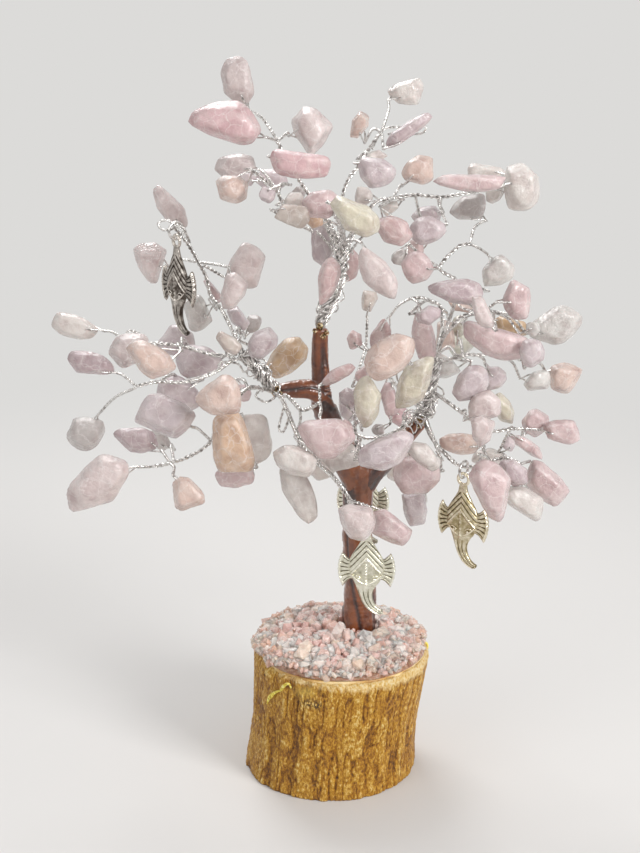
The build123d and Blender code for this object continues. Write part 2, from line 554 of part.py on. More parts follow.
# The sprays. Each row: the spray's name, what its stem grows from, the stem's pixels with
# depth shares (or a charm's name, for its level stretch), and the chips: the stem's point that
# the twig leaves, the drilled end's pixel, the far end's pixel, the width in pixels, the form
# and the depth share.
sprays = [
    ("top_left_high", "top", stem_radius,
     [(322, 212, -0.05), (303, 186, -0.1), (287, 162, -0.12), (278, 141, -0.15)], [
        (3, 247, 103, 232, 58, 29, "leaf", 0.1), (3, 258, 135, 191, 117, 34, "dart", -0.3),
        (3, 296, 134, 333, 125, 44, "wedge", 0.25), (2, 276, 158, 329, 168, 24, "leaf", -0.35)]),
    ("top_left_low", "top", stem_radius,
     [(322, 236, 0.1), (303, 226, 0.05), (288, 215, 0), (277, 190, -0.05)], [
        (3, 254, 168, 223, 158, 18, "block", 0.45), (3, 247, 176, 222, 200, 30, "block", -0.15),
        (3, 256, 180, 239, 178, 12, "pebble", 0.2), (3, 284, 183, 259, 176, 14, "leaf", 0.35),
        (3, 274, 190, 260, 199, 16, "leaf", -0.35), (2, 295, 200, 303, 187, 11, "pebble", 0.3),
        (2, 284, 203, 304, 198, 14, "pebble", -0.25), (1, 278, 212, 308, 220, 19, "block", -0.45)]),
    ("top_front", "top", stem_radius, [(345, 240, -0.15), (340, 226, -0.3), (334, 214, -0.4)], [
        (2, 334, 205, 379, 224, 30, "leaf", -0.75), (2, 330, 207, 302, 200, 24, "block", -0.55),
        (1, 323, 221, 306, 221, 12, "leaf", -0.2), (0, 366, 250, 394, 297, 28, "drop", -0.62),
        (0, 333, 258, 322, 304, 24, "leaf", -0.5)]),
    ("top_right_high", "top", stem_radius,
     [(343, 222, 0.15), (342, 200, 0.2), (348, 180, 0.2), (359, 166, 0.2),
                                            (369, 149, 0.25), (382, 131, 0.3)], [
        (5, 395, 97, 422, 85, 22, "block", 0.55), (5, 363, 136, 357, 112, 18, "block", 0.7),
        (5, 390, 145, 432, 116, 14, "leaf", 0.1), (3, 362, 166, 394, 178, 25, "block", -0.15),
        (4, 364, 158, 387, 155, 11, "leaf", 0.55)]),
    ("top_right", "top", stem_radius, [(358, 222, -0.05), (375, 203, -0.05), (393, 198, 0), (415, 195, 0),
                                       (441, 197, 0.05), (468, 193, 0.05), (498, 188, 0)], [
        (2, 372, 198, 356, 192, 15, "pebble", 0.15), (2, 397, 203, 383, 210, 13, "wedge", 0.35),
        (2, 408, 181, 431, 161, 26, "round", 0.4), (2, 384, 213, 404, 243, 28, "block", -0.4),
        (4, 436, 214, 409, 220, 22, "block", 0.35), (4, 440, 227, 411, 238, 25, "block", -0.25),
        (3, 424, 244, 406, 254, 17, "round", 0.6), (6, 503, 183, 436, 180, 16, "leaf", -0.2),
        (6, 503, 175, 470, 168, 14, "leaf", 0.45), (6, 506, 189, 538, 183, 44, "round", -0.05),
        (6, 500, 193, 489, 203, 12, "pebble", 0.25)]),
    ("right_high", "right", stem_radius, [(442, 338, 0.05), (450, 318, 0.05), (455, 300, 0), (457, 281, 0),
                                          (440, 268, 0.05), (458, 247, 0.1), (470, 244, 0.1)], [
        (4, 432, 268, 405, 266, 30, "wedge", -0.2), (4, 405, 250, 397, 264, 13, "pebble", 0.35),
        (6, 491, 260, 506, 285, 30, "round", 0.3), (3, 481, 291, 430, 288, 19, "leaf", -0.3),
        (2, 474, 310, 446, 299, 14, "leaf", 0.3), (6, 480, 217, 453, 203, 21, "block", 0.4)]),
    ("right_far_high", "right", stem_radius, [(446, 332, -0.1), (463, 316, -0.1), (486, 310, -0.05)], [
        (2, 504, 301, 529, 298, 36, "block", -0.15), (2, 500, 322, 527, 331, 18, "leaf", 0.3),
        (2, 533, 331, 579, 315, 30, "drop", 0.5), (2, 527, 331, 540, 327, 14, "pebble", -0.3),
        (1, 469, 327, 522, 349, 30, "block", -0.4), (1, 493, 325, 479, 299, 20, "leaf", -0.6)]),
    ("right_far", "right", stem_radius,
     [(449, 360, -0.1), (463, 355, -0.1), (478, 355, -0.1), (497, 354, -0.1),
                                         (515, 358, -0.1), (531, 364, -0.05)], [
        (4, 527, 362, 537, 335, 24, "round", -0.5), (3, 527, 379, 551, 381, 21, "wedge", 0.2),
        (5, 552, 373, 581, 377, 31, "block", 0.3), (2, 489, 369, 504, 389, 21, "round", 0.15),
        (1, 469, 369, 461, 398, 34, "round", -0.45), (0, 459, 363, 430, 366, 23, "block", 0.15),
        (1, 458, 337, 460, 314, 14, "pebble", 0.5), (0, 441, 346, 449, 317, 18, "block", 0.25)]),
    ("right_middle", "right_side", stem_radius, [(447, 402, -0.1), (461, 412, -0.15), (474, 422, -0.15),
                                                 (492, 431, -0.1), (510, 429, -0.1), (523, 429, -0.05)], [
        (1, 470, 416, 494, 397, 28, "round", -0.45), (2, 492, 402, 513, 420, 25, "leaf", 0.25),
        (2, 480, 441, 483, 416, 22, "block", -0.75), (5, 527, 430, 542, 413, 22, "round", 0.15),
        (5, 545, 431, 578, 437, 19, "block", 0.35), (4, 513, 437, 540, 458, 14, "leaf", 0.5),
        (4, 504, 448, 514, 440, 12, "pebble", 0)]),
    ("right_low", "right_foot", stem_radius, [(437, 446, -0.2), "right", (490, 461, -0.35), (506, 458, -0.3),
                                              (520, 464, -0.25)], [
        (3, 477, 446, 442, 444, 20, "block", 0.1), (4, 500, 463, 465, 451, 16, "pebble", 0.35),
        (3, 481, 462, 497, 519, 36, "dart", -0.8), (4, 508, 463, 517, 486, 22, "block", 0.1),
        (5, 524, 489, 529, 517, 34, "wedge", -0.5), (5, 534, 467, 559, 502, 32, "leaf", -0.05)]),
    ("right_front", "right_foot", stem_radius, [(430, 432, -0.3), (438, 450, -0.4), (441, 470, -0.35)], [
        (1, 436, 458, 405, 449, 22, "leaf", -0.7), (2, 436, 472, 396, 478, 36, "round", -0.45),
        (2, 423, 496, 412, 523, 23, "block", 0.1)]),
    ("right_front", "right_side", stem_radius, [(420, 392, -0.2), (410, 374, -0.35), (408, 364, -0.45)], [
        (2, 405, 363, 369, 354, 42, "round", -0.85), (1, 399, 370, 420, 405, 34, "block", -0.55)]),
    ("right_back", "right", stem_radius,
     [(442, 330, 0.25), (441, 308, 0.25), (427, 299, 0.2), (411, 298, 0.15)], [
        (3, 419, 310, 425, 358, 24, "leaf", -0.25), (2, 417, 314, 439, 314, 16, "pebble", -0.5),
        (3, 387, 323, 378, 350, 20, "wedge", 0.7), (1, 452, 330, 470, 352, 26, "block", 0.85)]),
    ("centre_back", "right_side", stem_radius, [(402, 392, 0.35), (382, 368, 0.5), (366, 347, 0.55)], [
        (2, 368, 309, 371, 289, 17, "round", 0.6), (2, 361, 346, 349, 334, 15, "pebble", 0.8),
        (2, 357, 382, 369, 369, 14, "pebble", 0.3), (0, 391, 410, 408, 422, 18, "block", 0.6),
        (1, 389, 381, 388, 411, 13, "leaf", -0.2), (0, 384, 427, 372, 433, 11, "pebble", 0.5)]),
    ("centre_low", "right_foot", stem_radius,
     [(395, 432, 0), (375, 438, -0.15), (358, 438, -0.25), (355, 425, -0.3)], [
        (2, 361, 458, 411, 438, 32, "leaf", -0.8), (2, 357, 456, 324, 460, 24, "block", -0.5),
        (3, 352, 407, 343, 389, 18, "round", -0.15), (3, 363, 424, 370, 378, 26, "leaf", -0.65),
        (2, 352, 441, 339, 423, 18, "wedge", -0.35)]),
    ("centre_back", "right_foot", stem_radius, [(400, 436, 0.35), "back", (340, 445, 0.55)], [
        (3, 345, 420, 356, 388, 26, "leaf", 0.9), (3, 330, 452, 318, 478, 24, "round", 0.75),
        (0, 408, 448, 398, 480, 24, "block", 0.8)]),
    ("front_middle", "left_foot", stem_radius, [(290, 398, -0.2), (300, 409, -0.3), (310, 408, -0.4),
                                                (320, 402, -0.5)], [
        (3, 326, 382, 354, 367, 14, "leaf", -0.4), (3, 322, 424, 331, 453, 42, "round", -0.8),
        (1, 300, 441, 314, 453, 14, "pebble", -0.1)]),
    ("front_low", "left_foot", rope_radius, [(285, 404, -0.3), (300, 440, -0.45), (318, 463, -0.55),
                                             (334, 478, -0.6), (350, 500, -0.55), "front"], [
        (1, 312, 459, 277, 456, 29, "block", -0.8), (1, 292, 472, 309, 521, 30, "leaf", -0.35),
        (4, 351, 509, 361, 538, 34, "block", -0.8), (4, 377, 512, 411, 540, 29, "leaf", -0.6)]),
    ("left_high", "left", stem_radius,
     [(232, 330, 0.05), (221, 309, 0.12), (211, 297, 0.18), (206, 277, 0.2),
                                        (198, 262, 0.17), (189, 246, 0.12), "left"], [
        (5, 182, 227, 158, 188, 22, "leaf", 0.25), (4, 164, 264, 138, 251, 30, "block", 0.4),
        (4, 230, 272, 254, 246, 30, "round", 0.2), (4, 230, 275, 232, 307, 28, "round", -0.25),
        (2, 214, 303, 207, 282, 17, "block", 0.5), (1, 208, 309, 190, 325, 25, "block", -0.35)]),
    ("left_middle", "left", stem_radius, [(237, 346, -0.12), (236, 336, -0.15)], [
        (1, 239, 327, 236, 308, 22, "round", 0.25), (0, 248, 332, 257, 315, 15, "pebble", 0.65),
        (0, 250, 351, 275, 333, 25, "round", -0.1), (1, 236, 344, 217, 328, 20, "block", -0.45),
        (0, 268, 374, 303, 341, 24, "leaf", 0.6), (0, 221, 357, 178, 368, 28, "leaf", 0.4)]),
    ("far_left", "left", stem_radius,
     [(215, 355, -0.1), (182, 346, -0.15), (155, 343, -0.2), (131, 345, -0.2)], [
        (3, 97, 329, 54, 318, 20, "leaf", 0.2), (3, 140, 349, 109, 361, 26, "wedge", -0.5),
        (1, 174, 353, 126, 365, 26, "leaf", -0.8), (1, 183, 343, 160, 329, 22, "block", 0.55)]),
    ("left_down", "left", stem_radius,
     [(215, 372, -0.2), (185, 382, -0.25), (161, 380, -0.3), (137, 387, -0.3)], [
        (3, 111, 371, 69, 358, 20, "drop", 0), (3, 94, 422, 81, 452, 34, "wedge", 0.3),
        (1, 197, 383, 160, 403, 30, "round", 0.15), (2, 187, 386, 198, 379, 11, "pebble", 0.6)]),
    ("left_low", "left_foot", stem_radius,
     [(238, 392, -0.1), (219, 415, -0.2), (211, 441, -0.3), (190, 456, -0.35),
                                            (170, 463, -0.35), (152, 467, -0.35)], [
        (5, 128, 471, 67, 504, 34, "leaf", -0.5), (4, 179, 480, 205, 499, 30, "drop", -0.75),
        (4, 155, 449, 117, 432, 17, "leaf", 0.2), (4, 169, 446, 150, 433, 15, "pebble", 0.6),
        (2, 185, 424, 140, 404, 38, "round", -0.6)]),
    ("left_front", "left_foot", stem_radius,
     [(248, 388, -0.35), (232, 406, -0.5), (243, 435, -0.55), (251, 457, -0.5)], [
        (1, 224, 402, 205, 380, 38, "round", -0.85), (1, 226, 411, 235, 472, 34, "drop", -1.0),
        (2, 245, 420, 266, 459, 28, "block", -0.15), (3, 250, 470, 218, 481, 17, "leaf", -0.3),
        (0, 239, 385, 248, 401, 15, "pebble", 0.4)]),
]
root_shares = {"left": 1.0, "right": 1.0, "top": 1.0, "right_side": 0.55, "right_foot": 0.15,
               "left_foot": 0.02}


def root_place(root, slide_share):
    """The point of a bundle's axis that a stem grows from."""
    path = np.array(bundle_paths[root.split("_")[0]][1:])
    spot = min(max(root_shares[root] + slide_share, 0), 1) * (len(path) - 1)
    k = min(int(spot), len(path) - 2)
    return path[k] + (path[k + 1] - path[k]) * (spot - k)


def start_of(path, radii, sides):
    """Moves a tube's first point along its first run until that run is clear."""
    run = path[1] - path[0]
    reach = np.linalg.norm(run)
    for distance in np.arange(0.0, min(reach - 1.2 * radii[0], march_reach), start_step):
        first = path[0] + run * distance / reach
        rings = rings_along([first] + path[1:3], radii[:3], sides)
        if is_clear(np.concatenate(rings[:2]), join_gap):
            return first, distance
    return None, math.inf


wires, chips, stem_paths = {}, {}, []
for name, root, radius, points, _ in sprays:
    carried, spots = None, []
    for spot in points:
        if isinstance(spot, str):
            carried = spot, len(spots)
            ends = hanger_ends[spot]
            near_first = np.linalg.norm(ends[0] - spots[-1]) < np.linalg.norm(ends[1] - spots[-1])
            spots += ends if near_first else ends[::-1]
        else:
            spots.append(place(spot[0], spot[1], spot[2] * crown_depth))
    radii = [radius] * 3 + [stem_radius] * len(spots[2:])
    first, least = spots[0], math.inf
    for slide_share in (0, -0.1, 0.1, -0.2, 0.2, -0.3, 0.3, -0.4):
        begin = root_place(root, slide_share)
        start, distance = start_of([begin] + spots, radii, stem_sides)
        if distance < least:
            first, least = start, distance
    print("stem of", name, "starts", round(float(least), 2), "mm from its bundle's middle")
    stem, hulls = tube([first] + spots, radii, stem_sides)
    for k, hull in enumerate(hulls):
        skip = "charm_" + carried[0] if carried and k == carried[1] + 1 else ""
        if not is_clear(hull, join_gap / 2, skip):
            print("the stem of", name, "touches something in stretch", k)
    take(hulls, "stem_" + name)
    wires.setdefault(name, []).append(stem)
    chips.setdefault(name, [])
    stem_paths.append(spots)

def settle(stem_path, row, serial):
    """Moves a chip along its line of sight until it and its twig have room, and prefers a
    place whose twig ends close to its stem. Gives the chip's and the twig's corners."""
    join, u, v, tip_u, tip_v, wide, form, share = row
    roll = math.radians(roll_degrees[serial % len(roll_degrees)])
    stem_point = stem_path[join]
    back = unit(stem_path[join - 1 if join else 1] - stem_point)
    fallback, least = None, math.inf
    for shift in shifts():
        if fallback and abs(shift) > patience:
            break
        depth = share * crown_depth + shift
        neck = place(u, v, depth)
        reach = math.hypot(tip_u - u, tip_v - v) * pixel_size(depth)
        tip = place(tip_u, tip_v, depth + lean_share * depth / crown_depth * reach)
        width = wide * pixel_size(depth) / math.cos(roll)
        thickness = (chip_thickness + chip_thickness_share * width) * thin_shares[serial % 4]
        thickness = min(thickness, chip_thickest)
        frame = chip_frame(neck, tip, roll)
        rings = chip_rings(neck, tip, width, form, thickness, frame)
        if not is_clear(rings.reshape(-1, 3), chip_gap):
            continue
        inset = hole_inset + hole_inset_share * np.linalg.norm(tip - neck)
        for slide in twig_slides:
            parent = stem_point + back * slide
            run = np.linalg.norm(neck - parent)
            middle = (parent + neck) / 2 + (0, 0, twig_bow_share * run)
            bow = [middle] if run > bow_reach else []
            path = [parent] + bow + wire_loop(neck, frame, thickness, inset, unit(neck - middle))
            radii = [twig_radius] * (2 + len(bow)) + [wire_radius] * 3
            first, distance = start_of(path, radii, twig_sides)
            if distance >= least:
                continue
            twig_rings = rings_along([first] + path[1:], radii, twig_sides)
            if all_clear(hulls_of(twig_rings), join_gap):
                drill_at = neck + frame[0] * inset
                fallback, least = (rings, twig_rings, drill_at, frame, thickness, shift), distance
            if least < march_limit:
                return fallback
    return fallback


serial = 0
farthest = 0.0
for (name, _, _, _, rows), stem_path in zip(sprays, stem_paths):
    for row in rows:
        settled = settle(stem_path, row, serial)
        if settled is None:
            print("no room for chip", serial, name, row)
            continue
        rings, twig_rings, drill_at, frame, thickness, shift = settled
        farthest = max(farthest, abs(shift))
        take([rings.reshape(-1, 3)], "chip")
        take(hulls_of(twig_rings), "twig")
        chips[name].append(make_chip(rings, drill_at, frame, thickness))
        wires[name].append(solid_of(*skin(twig_rings)))
        serial += 1
print(serial, "chips, the most moved by", round(farthest, 1), "mm")

# One file for each named node
nodes = {"log_core": [core], "log_bark": [bark], "glue_bed": [glue_bed], "gravel_chips": gravel,
         "trunk": [trunk]}
for name, bundle in bundles.items():
    nodes["wire_bundle_" + name] = [bundle]
for name in wires:
    nodes["spray_" + name + "_wire"] = wires[name]
    nodes["spray_" + name + "_chips"] = chips[name]
for name in charms:
    nodes["elephant_charm_" + name] = [charms[name]]
    nodes["jump_ring_" + name] = [jump_rings[name]]
for name, pieces in nodes.items():
    solids = [solid for piece in pieces for solid in piece.solids()]
    print(name, len(solids), "solids")
    export_step(Compound(children=solids), "parts/" + name + ".step")
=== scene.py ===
# %% [markdown]
# # A gemstone tree
# Tumbled rose quartz chips hang like leaves on twisted silver wire. The wire fans out of a glossy
# moulded trunk, which stands in a slice of varnished log under crushed quartz. Four cast elephant
# heads hang from jump rings. This lesson dresses the measured frame of the tree, piece by piece.

# %% The frame
import math

import bpy
import numpy as np
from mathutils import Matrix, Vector
from mathutils.geometry import convex_hull_2d


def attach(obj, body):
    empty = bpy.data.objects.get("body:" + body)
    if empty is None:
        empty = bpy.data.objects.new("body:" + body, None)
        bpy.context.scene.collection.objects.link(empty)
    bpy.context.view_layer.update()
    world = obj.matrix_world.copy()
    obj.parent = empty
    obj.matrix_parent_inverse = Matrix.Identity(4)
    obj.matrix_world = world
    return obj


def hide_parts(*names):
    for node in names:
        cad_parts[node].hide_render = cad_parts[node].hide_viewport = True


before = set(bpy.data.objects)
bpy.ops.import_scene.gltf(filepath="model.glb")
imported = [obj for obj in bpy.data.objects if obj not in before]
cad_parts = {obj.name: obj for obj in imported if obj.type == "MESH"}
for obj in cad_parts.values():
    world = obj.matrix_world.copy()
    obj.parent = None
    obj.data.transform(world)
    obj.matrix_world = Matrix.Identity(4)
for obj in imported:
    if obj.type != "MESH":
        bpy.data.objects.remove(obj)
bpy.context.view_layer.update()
print("nodes in the frame:", len(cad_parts))

# %% [markdown]
# Colours are written as the hex values a painter would pick on a screen. Blender's shaders want
# linear light, so one function turns hex into linear. A second one adds a shader node with its
# settings and its links, so that a material reads as a short list.

# %% Colours and shader nodes
METRE = 0.001  # every length below is in millimetres; meshes are stored in metres


def to_linear(code):
    """sRGB hex to linear RGBA: v / 12.92 below 0.04045, ((v + 0.055) / 1.055) ** 2.4 above."""
    values = np.array([int(code[k:k + 2], 16) for k in (1, 3, 5)]) / 255
    linear = np.where(values <= 0.04045, values / 12.92, ((values + 0.055) / 1.055) ** 2.4)
    return (*linear.tolist(), 1.0)


def add_node(tree, kind, sockets=None, stops=None, **settings):
    """Adds a shader node. A socket takes a number, a colour, an output, or a node's first output;
    stops are a colour ramp's (place, hex) pairs."""
    node = tree.nodes.new("ShaderNode" + kind)
    for key, value in settings.items():
        setattr(node, key, value)
    for key, value in (sockets or {}).items():
        source = value.outputs[0] if isinstance(value, bpy.types.Node) else value
        if isinstance(source, bpy.types.NodeSocket):
            tree.links.new(source, node.inputs[key])
        else:
            node.inputs[key].default_value = source
    if stops:
        marks = node.color_ramp.elements
        while len(marks) < len(stops):
            marks.new(0.5)
        for mark, (at, code) in zip(marks, stops):
            mark.position, mark.color = at, to_linear(code)
    return node


def start_material(name, **values):
    """A new material, its node tree, its Principled shader and its Object coordinates."""
    material = bpy.data.materials.new(name)
    material.use_nodes = True
    tree = material.node_tree
    shader = tree.nodes["Principled BSDF"]
    for key, value in values.items():
        shader.inputs[key.replace("_", " ")].default_value = value
    return material, tree, shader, add_node(tree, "TexCoord").outputs["Object"]


def noise_sockets(where, size, detail=4.0, roughness=0.55):
    """The sockets of a noise whose lumps are about size millimetres across."""
    return {"Vector": where, "Scale": 1 / (size * METRE), "Detail": detail, "Roughness": roughness}


print("mid grey is", round(to_linear("#808080")[0], 3), "in linear light")

# %% [markdown]
# The camera that took the picture is known: its tilt, its focal length in pixels, and the pixel
# of the log's foot. With these, a pixel and a depth name a real place, and a real place has a
# pixel. Routes below are written as pixels with a depth in millimetres behind the trunk.

# %% The camera's geometry
PIXEL = 0.28  # millimetres that one pixel covers at the trunk
FOCAL = 1457.0  # focal length in pixels
TILT = math.radians(16.7)
MIDDLE_U, MIDDLE_V = 320, 426.5  # the middle of the photograph
FOOT = (330.0, 757.0)  # the pixel of the middle of the log's foot
DISTANCE = FOCAL * PIXEL * math.cos(TILT)


def sight(u, v):
    """The direction through a pixel: right, ahead and up, tipped down by the camera's tilt."""
    right, up = (u - MIDDLE_U) / FOCAL, (MIDDLE_V - v) / FOCAL
    ahead = math.cos(TILT) + up * math.sin(TILT)
    return np.array([right, ahead, up * math.cos(TILT) - math.sin(TILT)])


EYE = sight(*FOOT) * -DISTANCE / sight(*FOOT)[1]


def place(u, v, depth=0.0):
    """The real place seen at a pixel, this far behind the trunk."""
    ray = sight(u, v)
    return EYE + ray * (depth + DISTANCE) / ray[1]


def pixel_of(points):
    """Where real places are seen: the inverse of place."""
    away = np.asarray(points) - EYE
    ahead = away @ np.array([0, math.cos(TILT), -math.sin(TILT)])
    up = away @ np.array([0, math.sin(TILT), math.cos(TILT)])
    return np.stack([MIDDLE_U + FOCAL * away[..., 0] / ahead, MIDDLE_V - FOCAL * up / ahead], axis=-1)


print("the camera is at", EYE.round(1), "mm")

# %% [markdown]
# Every new piece is a grid of points: rows along it, columns round it. These helpers turn grids
# into meshes, carry a round section along a path, and smooth a path of a few points.

# %% Surfaces from grids
def grid_faces(rows, columns, first=0, caps=False):
    """Quads of a grid that closes on itself across its columns, with its ends capped if asked."""
    index = first + np.arange(rows * columns).reshape(rows, columns)
    right = np.roll(index, -1, axis=1)
    quads = np.stack([index[:-1], right[:-1], right[1:], index[1:]], axis=-1).reshape(-1, 4)
    faces = quads.tolist()
    if caps:
        faces += [index[0][::-1].tolist(), index[-1].tolist()]
    return faces


def add_piece(name, parts, material, body, nodes=(), smooth=True, values=None):
    """Joins (points, faces) parts into one object in place, riding a body and standing for nodes."""
    points, faces, count = [], [], 0
    for part_points, part_faces in parts:
        flat = np.asarray(part_points, float).reshape(-1, 3)
        points.append(flat)
        faces += [[count + i for i in face] for face in part_faces]
        count += len(flat)
    mesh = bpy.data.meshes.new(name)
    mesh.from_pydata((np.concatenate(points) * METRE).tolist(), [], faces)
    for key, data in (values or {}).items():
        kind = "FLOAT_COLOR" if np.ndim(data) == 2 else "FLOAT"
        layer = mesh.attributes.new(key, kind, "POINT")
        layer.data.foreach_set("color" if np.ndim(data) == 2 else "value", np.ravel(data))
    mesh.polygons.foreach_set("use_smooth", [smooth] * len(mesh.polygons))
    mesh.materials.append(material)
    mesh.update()
    piece = bpy.data.objects.new(name, mesh)
    bpy.context.scene.collection.objects.link(piece)
    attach(piece, body)
    if nodes:
        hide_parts(*nodes)
    print(name, len(faces), "faces")
    return piece


def frames_along(path):
    """Tangent, side and up at each point, turning as little as possible along the path."""
    steps = np.gradient(path, axis=0)
    tangents = steps / (np.linalg.norm(steps, axis=1)[:, None] + 1e-12)
    side = np.cross(tangents[0], np.eye(3)[np.argmin(abs(tangents[0]))])
    sides = []
    for tangent in tangents:
        side = side - tangent * (side @ tangent)
        side = side / (np.linalg.norm(side) + 1e-12)
        sides.append(side)
    sides = np.array(sides)
    return tangents, sides, np.cross(tangents, sides)


def tube(path, radius, columns=6, caps=True):
    """A round section carried along a path: centre + r (side cos a + up sin a)."""
    path = np.asarray(path, float)
    _, sides, ups = frames_along(path)
    angles = np.arange(columns) * 2 * math.pi / columns
    radius = np.broadcast_to(radius, len(path))[:, None, None]
    around = sides[:, None] * np.cos(angles)[:, None] + ups[:, None] * np.sin(angles)[:, None]
    return path[:, None] + radius * around, grid_faces(len(path), columns, caps=caps)


def smooth_path(points, spacing):
    """A Catmull-Rom curve through the points, sampled about every spacing millimetres."""
    points = np.asarray(points, float)
    ends = np.concatenate([[2 * points[0] - points[1]], points, [2 * points[-1] - points[-2]]])
    pieces = []
    for p0, p1, p2, p3 in zip(ends[:-3], ends[1:-2], ends[2:-1], ends[3:]):
        count = max(2, int(np.linalg.norm(p2 - p1) / spacing))
        t = np.linspace(0, 1, count, endpoint=False)[:, None]
        pieces.append(0.5 * (2 * p1 + (p2 - p0) * t + (2 * p0 - 5 * p1 + 4 * p2 - p3) * t**2
                             + (3 * p1 - p0 - 3 * p2 + p3) * t**3))
    return np.concatenate(pieces + [points[-1:]])


def lengths_along(path):
    """The length of a path up to each of its points."""
    return np.concatenate([[0], np.cumsum(np.linalg.norm(np.diff(path, axis=0), axis=1))])


def strand(path, offset, pitch, phase):
    """A helix round a path: centre + offset (side cos a + up sin a), a = phase + 2 pi s / pitch."""
    _, sides, ups = frames_along(path)
    angle = (phase + 2 * math.pi * lengths_along(path) / pitch)[:, None]
    return path + np.reshape(offset, (-1, 1)) * (sides * np.cos(angle) + ups * np.sin(angle))


# %% [markdown]
# The frame's own meshes hold the measured places: each chip and each wire of a spray is one
# closed piece of its node. A node's mesh is loose triangles, so equal corners are merged first,
# and then the lowest corner number spreads over each piece until every piece has one label.

# %% Reading the frame's pieces
def pieces_of(node):
    """The closed pieces of a frame node as (corners in millimetres, triangles)."""
    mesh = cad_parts[node].data
    corners = np.empty(len(mesh.vertices) * 3)
    mesh.vertices.foreach_get("co", corners)
    loops = np.empty(len(mesh.loops), int)
    mesh.loops.foreach_get("vertex_index", loops)
    rounded = np.round(corners.reshape(-1, 3) / METRE, 3)
    points, merged = np.unique(rounded, axis=0, return_inverse=True)
    triangles = merged.reshape(-1)[loops].reshape(-1, 3)
    label = np.arange(len(points))
    while True:
        lowest = label[triangles].min(axis=1)
        spread = label.copy()
        np.minimum.at(spread, triangles.reshape(-1), np.repeat(lowest, 3))
        if (spread == label).all():
            break
        label = spread
    found = []
    for first in np.unique(label):
        own = np.flatnonzero(label == first)
        kept = triangles[label[triangles[:, 0]] == first]
        found.append((points[own], np.searchsorted(own, kept)))
    return found


def wire_course(corners, triangles):
    """The middle and radius of each ring of a wire's frame piece, from one end to the other.
    Corners of an end ring meet fewer edges, and each next ring is what the last one touches."""
    pairs = np.concatenate([triangles[:, [0, 1]], triangles[:, [1, 2]], triangles[:, [2, 0]]])
    pairs = np.unique(np.sort(pairs, axis=1), axis=0)
    degree = np.bincount(pairs.reshape(-1), minlength=len(corners))
    near = [set() for _ in corners]
    for a, b in pairs.tolist():
        near[a].add(b)
        near[b].add(a)
    start = int(np.argmin(degree))
    sides = 3 if len(corners) % 3 == 0 and len(corners) < 24 else 4
    layer = {start} | {k for k in near[start] if degree[k] <= 5}
    if len(layer) != sides:
        layer = set(sorted(layer, key=lambda k: np.linalg.norm(corners[k] - corners[start]))[:sides])
    seen, middles, radii = set(), [], []
    while layer:
        ring = corners[sorted(layer)]
        middles.append(ring.mean(axis=0))
        radii.append(np.linalg.norm(ring - middles[-1], axis=1).min())
        seen |= layer
        layer = set().union(*(near[k] for k in layer)) - seen
    return np.array(middles), np.array(radii)


print("the gravel's node has", len(pieces_of("gravel_chips")), "pieces")

# %% [markdown]
# A stem is turned so that it starts at its bundle, and a twig so that it ends at its stone. The
# bundles follow the photograph: each row is a pixel and a depth, as a share of the crown's reach.

# %% Bundles, stems and twigs
sprays = sorted({name[6:-5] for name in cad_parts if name.endswith("_wire")})
bundle_routes = {
    "top": [(320, 329, 0), (323, 316, 0), (332, 299, 0), (339, 280, 0), (342, 262, 0), (344, 248, 0)],
    "left": [(278, 391, -0.1), (268, 384, -0.11), (259, 371, -0.12), (249, 360, -0.12), (240, 354, -0.12)],
    "right": [(420, 422, 0.12), (427, 408, 0.12), (430, 392, 0.1), (433, 376, 0.08), (435, 360, 0.05)],
}
CROWN = 43.0  # how far the crown reaches in front of and behind the trunk
TWIG_CORNERS = (15, 18)  # a twig's frame piece has five or six rings of three corners


def route(points):
    """Real places of (pixel, pixel, depth share) rows."""
    return np.array([place(u, v, share * CROWN) for u, v, share in points])


bundle_paths = {name: smooth_path(route(points), 0.5) for name, points in bundle_routes.items()}
bundle_points = np.concatenate(list(bundle_paths.values()))
stems, twigs = {}, {}
for spray in sprays:
    stems[spray], twigs[spray] = [], []
    for corners, triangles in pieces_of("spray_" + spray + "_wire"):
        middles, radii = wire_course(corners, triangles)
        if len(corners) in TWIG_CORNERS:
            twigs[spray].append(middles if radii[0] > radii[-1] else middles[::-1])
            continue
        gaps = [np.linalg.norm(bundle_points - end, axis=1).min() for end in (middles[0], middles[-1])]
        stems[spray].append(middles if gaps[0] < gaps[1] else middles[::-1])
print(sum(map(len, stems.values())), "stems and", sum(map(len, twigs.values())), "twigs")


# %% [markdown]
# Natural surfaces need gentle randomness. Random values sit on a lattice and are blended with
# the fade t * t * (3 - 2 t), and the lattice repeats round the piece, so that no seam shows.
# Several layers, each finer and fainter, give bark, cast metal and stone.

# %% Seeded randomness
def lattice_noise(around, along, cells, seed):
    """Blended random values from -1 to 1; around runs from 0 to 1 and repeats, along is free."""
    values = np.random.default_rng(seed).uniform(-1, 1, (64, cells[0]))
    x, y = around * cells[0], along * cells[1]
    i, j = np.floor(x).astype(int), np.floor(y).astype(int)
    s, t = x - i, y - j
    s, t = s * s * (3 - 2 * s), t * t * (3 - 2 * t)
    near = values[j % 64, i % cells[0]] * (1 - s) + values[j % 64, (i + 1) % cells[0]] * s
    far = values[(j + 1) % 64, i % cells[0]] * (1 - s) + values[(j + 1) % 64, (i + 1) % cells[0]] * s
    return near * (1 - t) + far * t


print("one value of the noise:", round(float(lattice_noise(0.3, 0.5, (8, 1), 1)), 3))

# %% [markdown]
# ## The log slice
# A young branch sawn square at both ends, its bark kept and varnished. The bark is a sleeve with a
# slight waist. It has forty-five broad folds, as the measured solid has, and on them fine upright
# furrows: a furrow is where a ridged noise, 1 - |noise|, comes near 1, and the noise is stretched
# upwards as the wood grew.

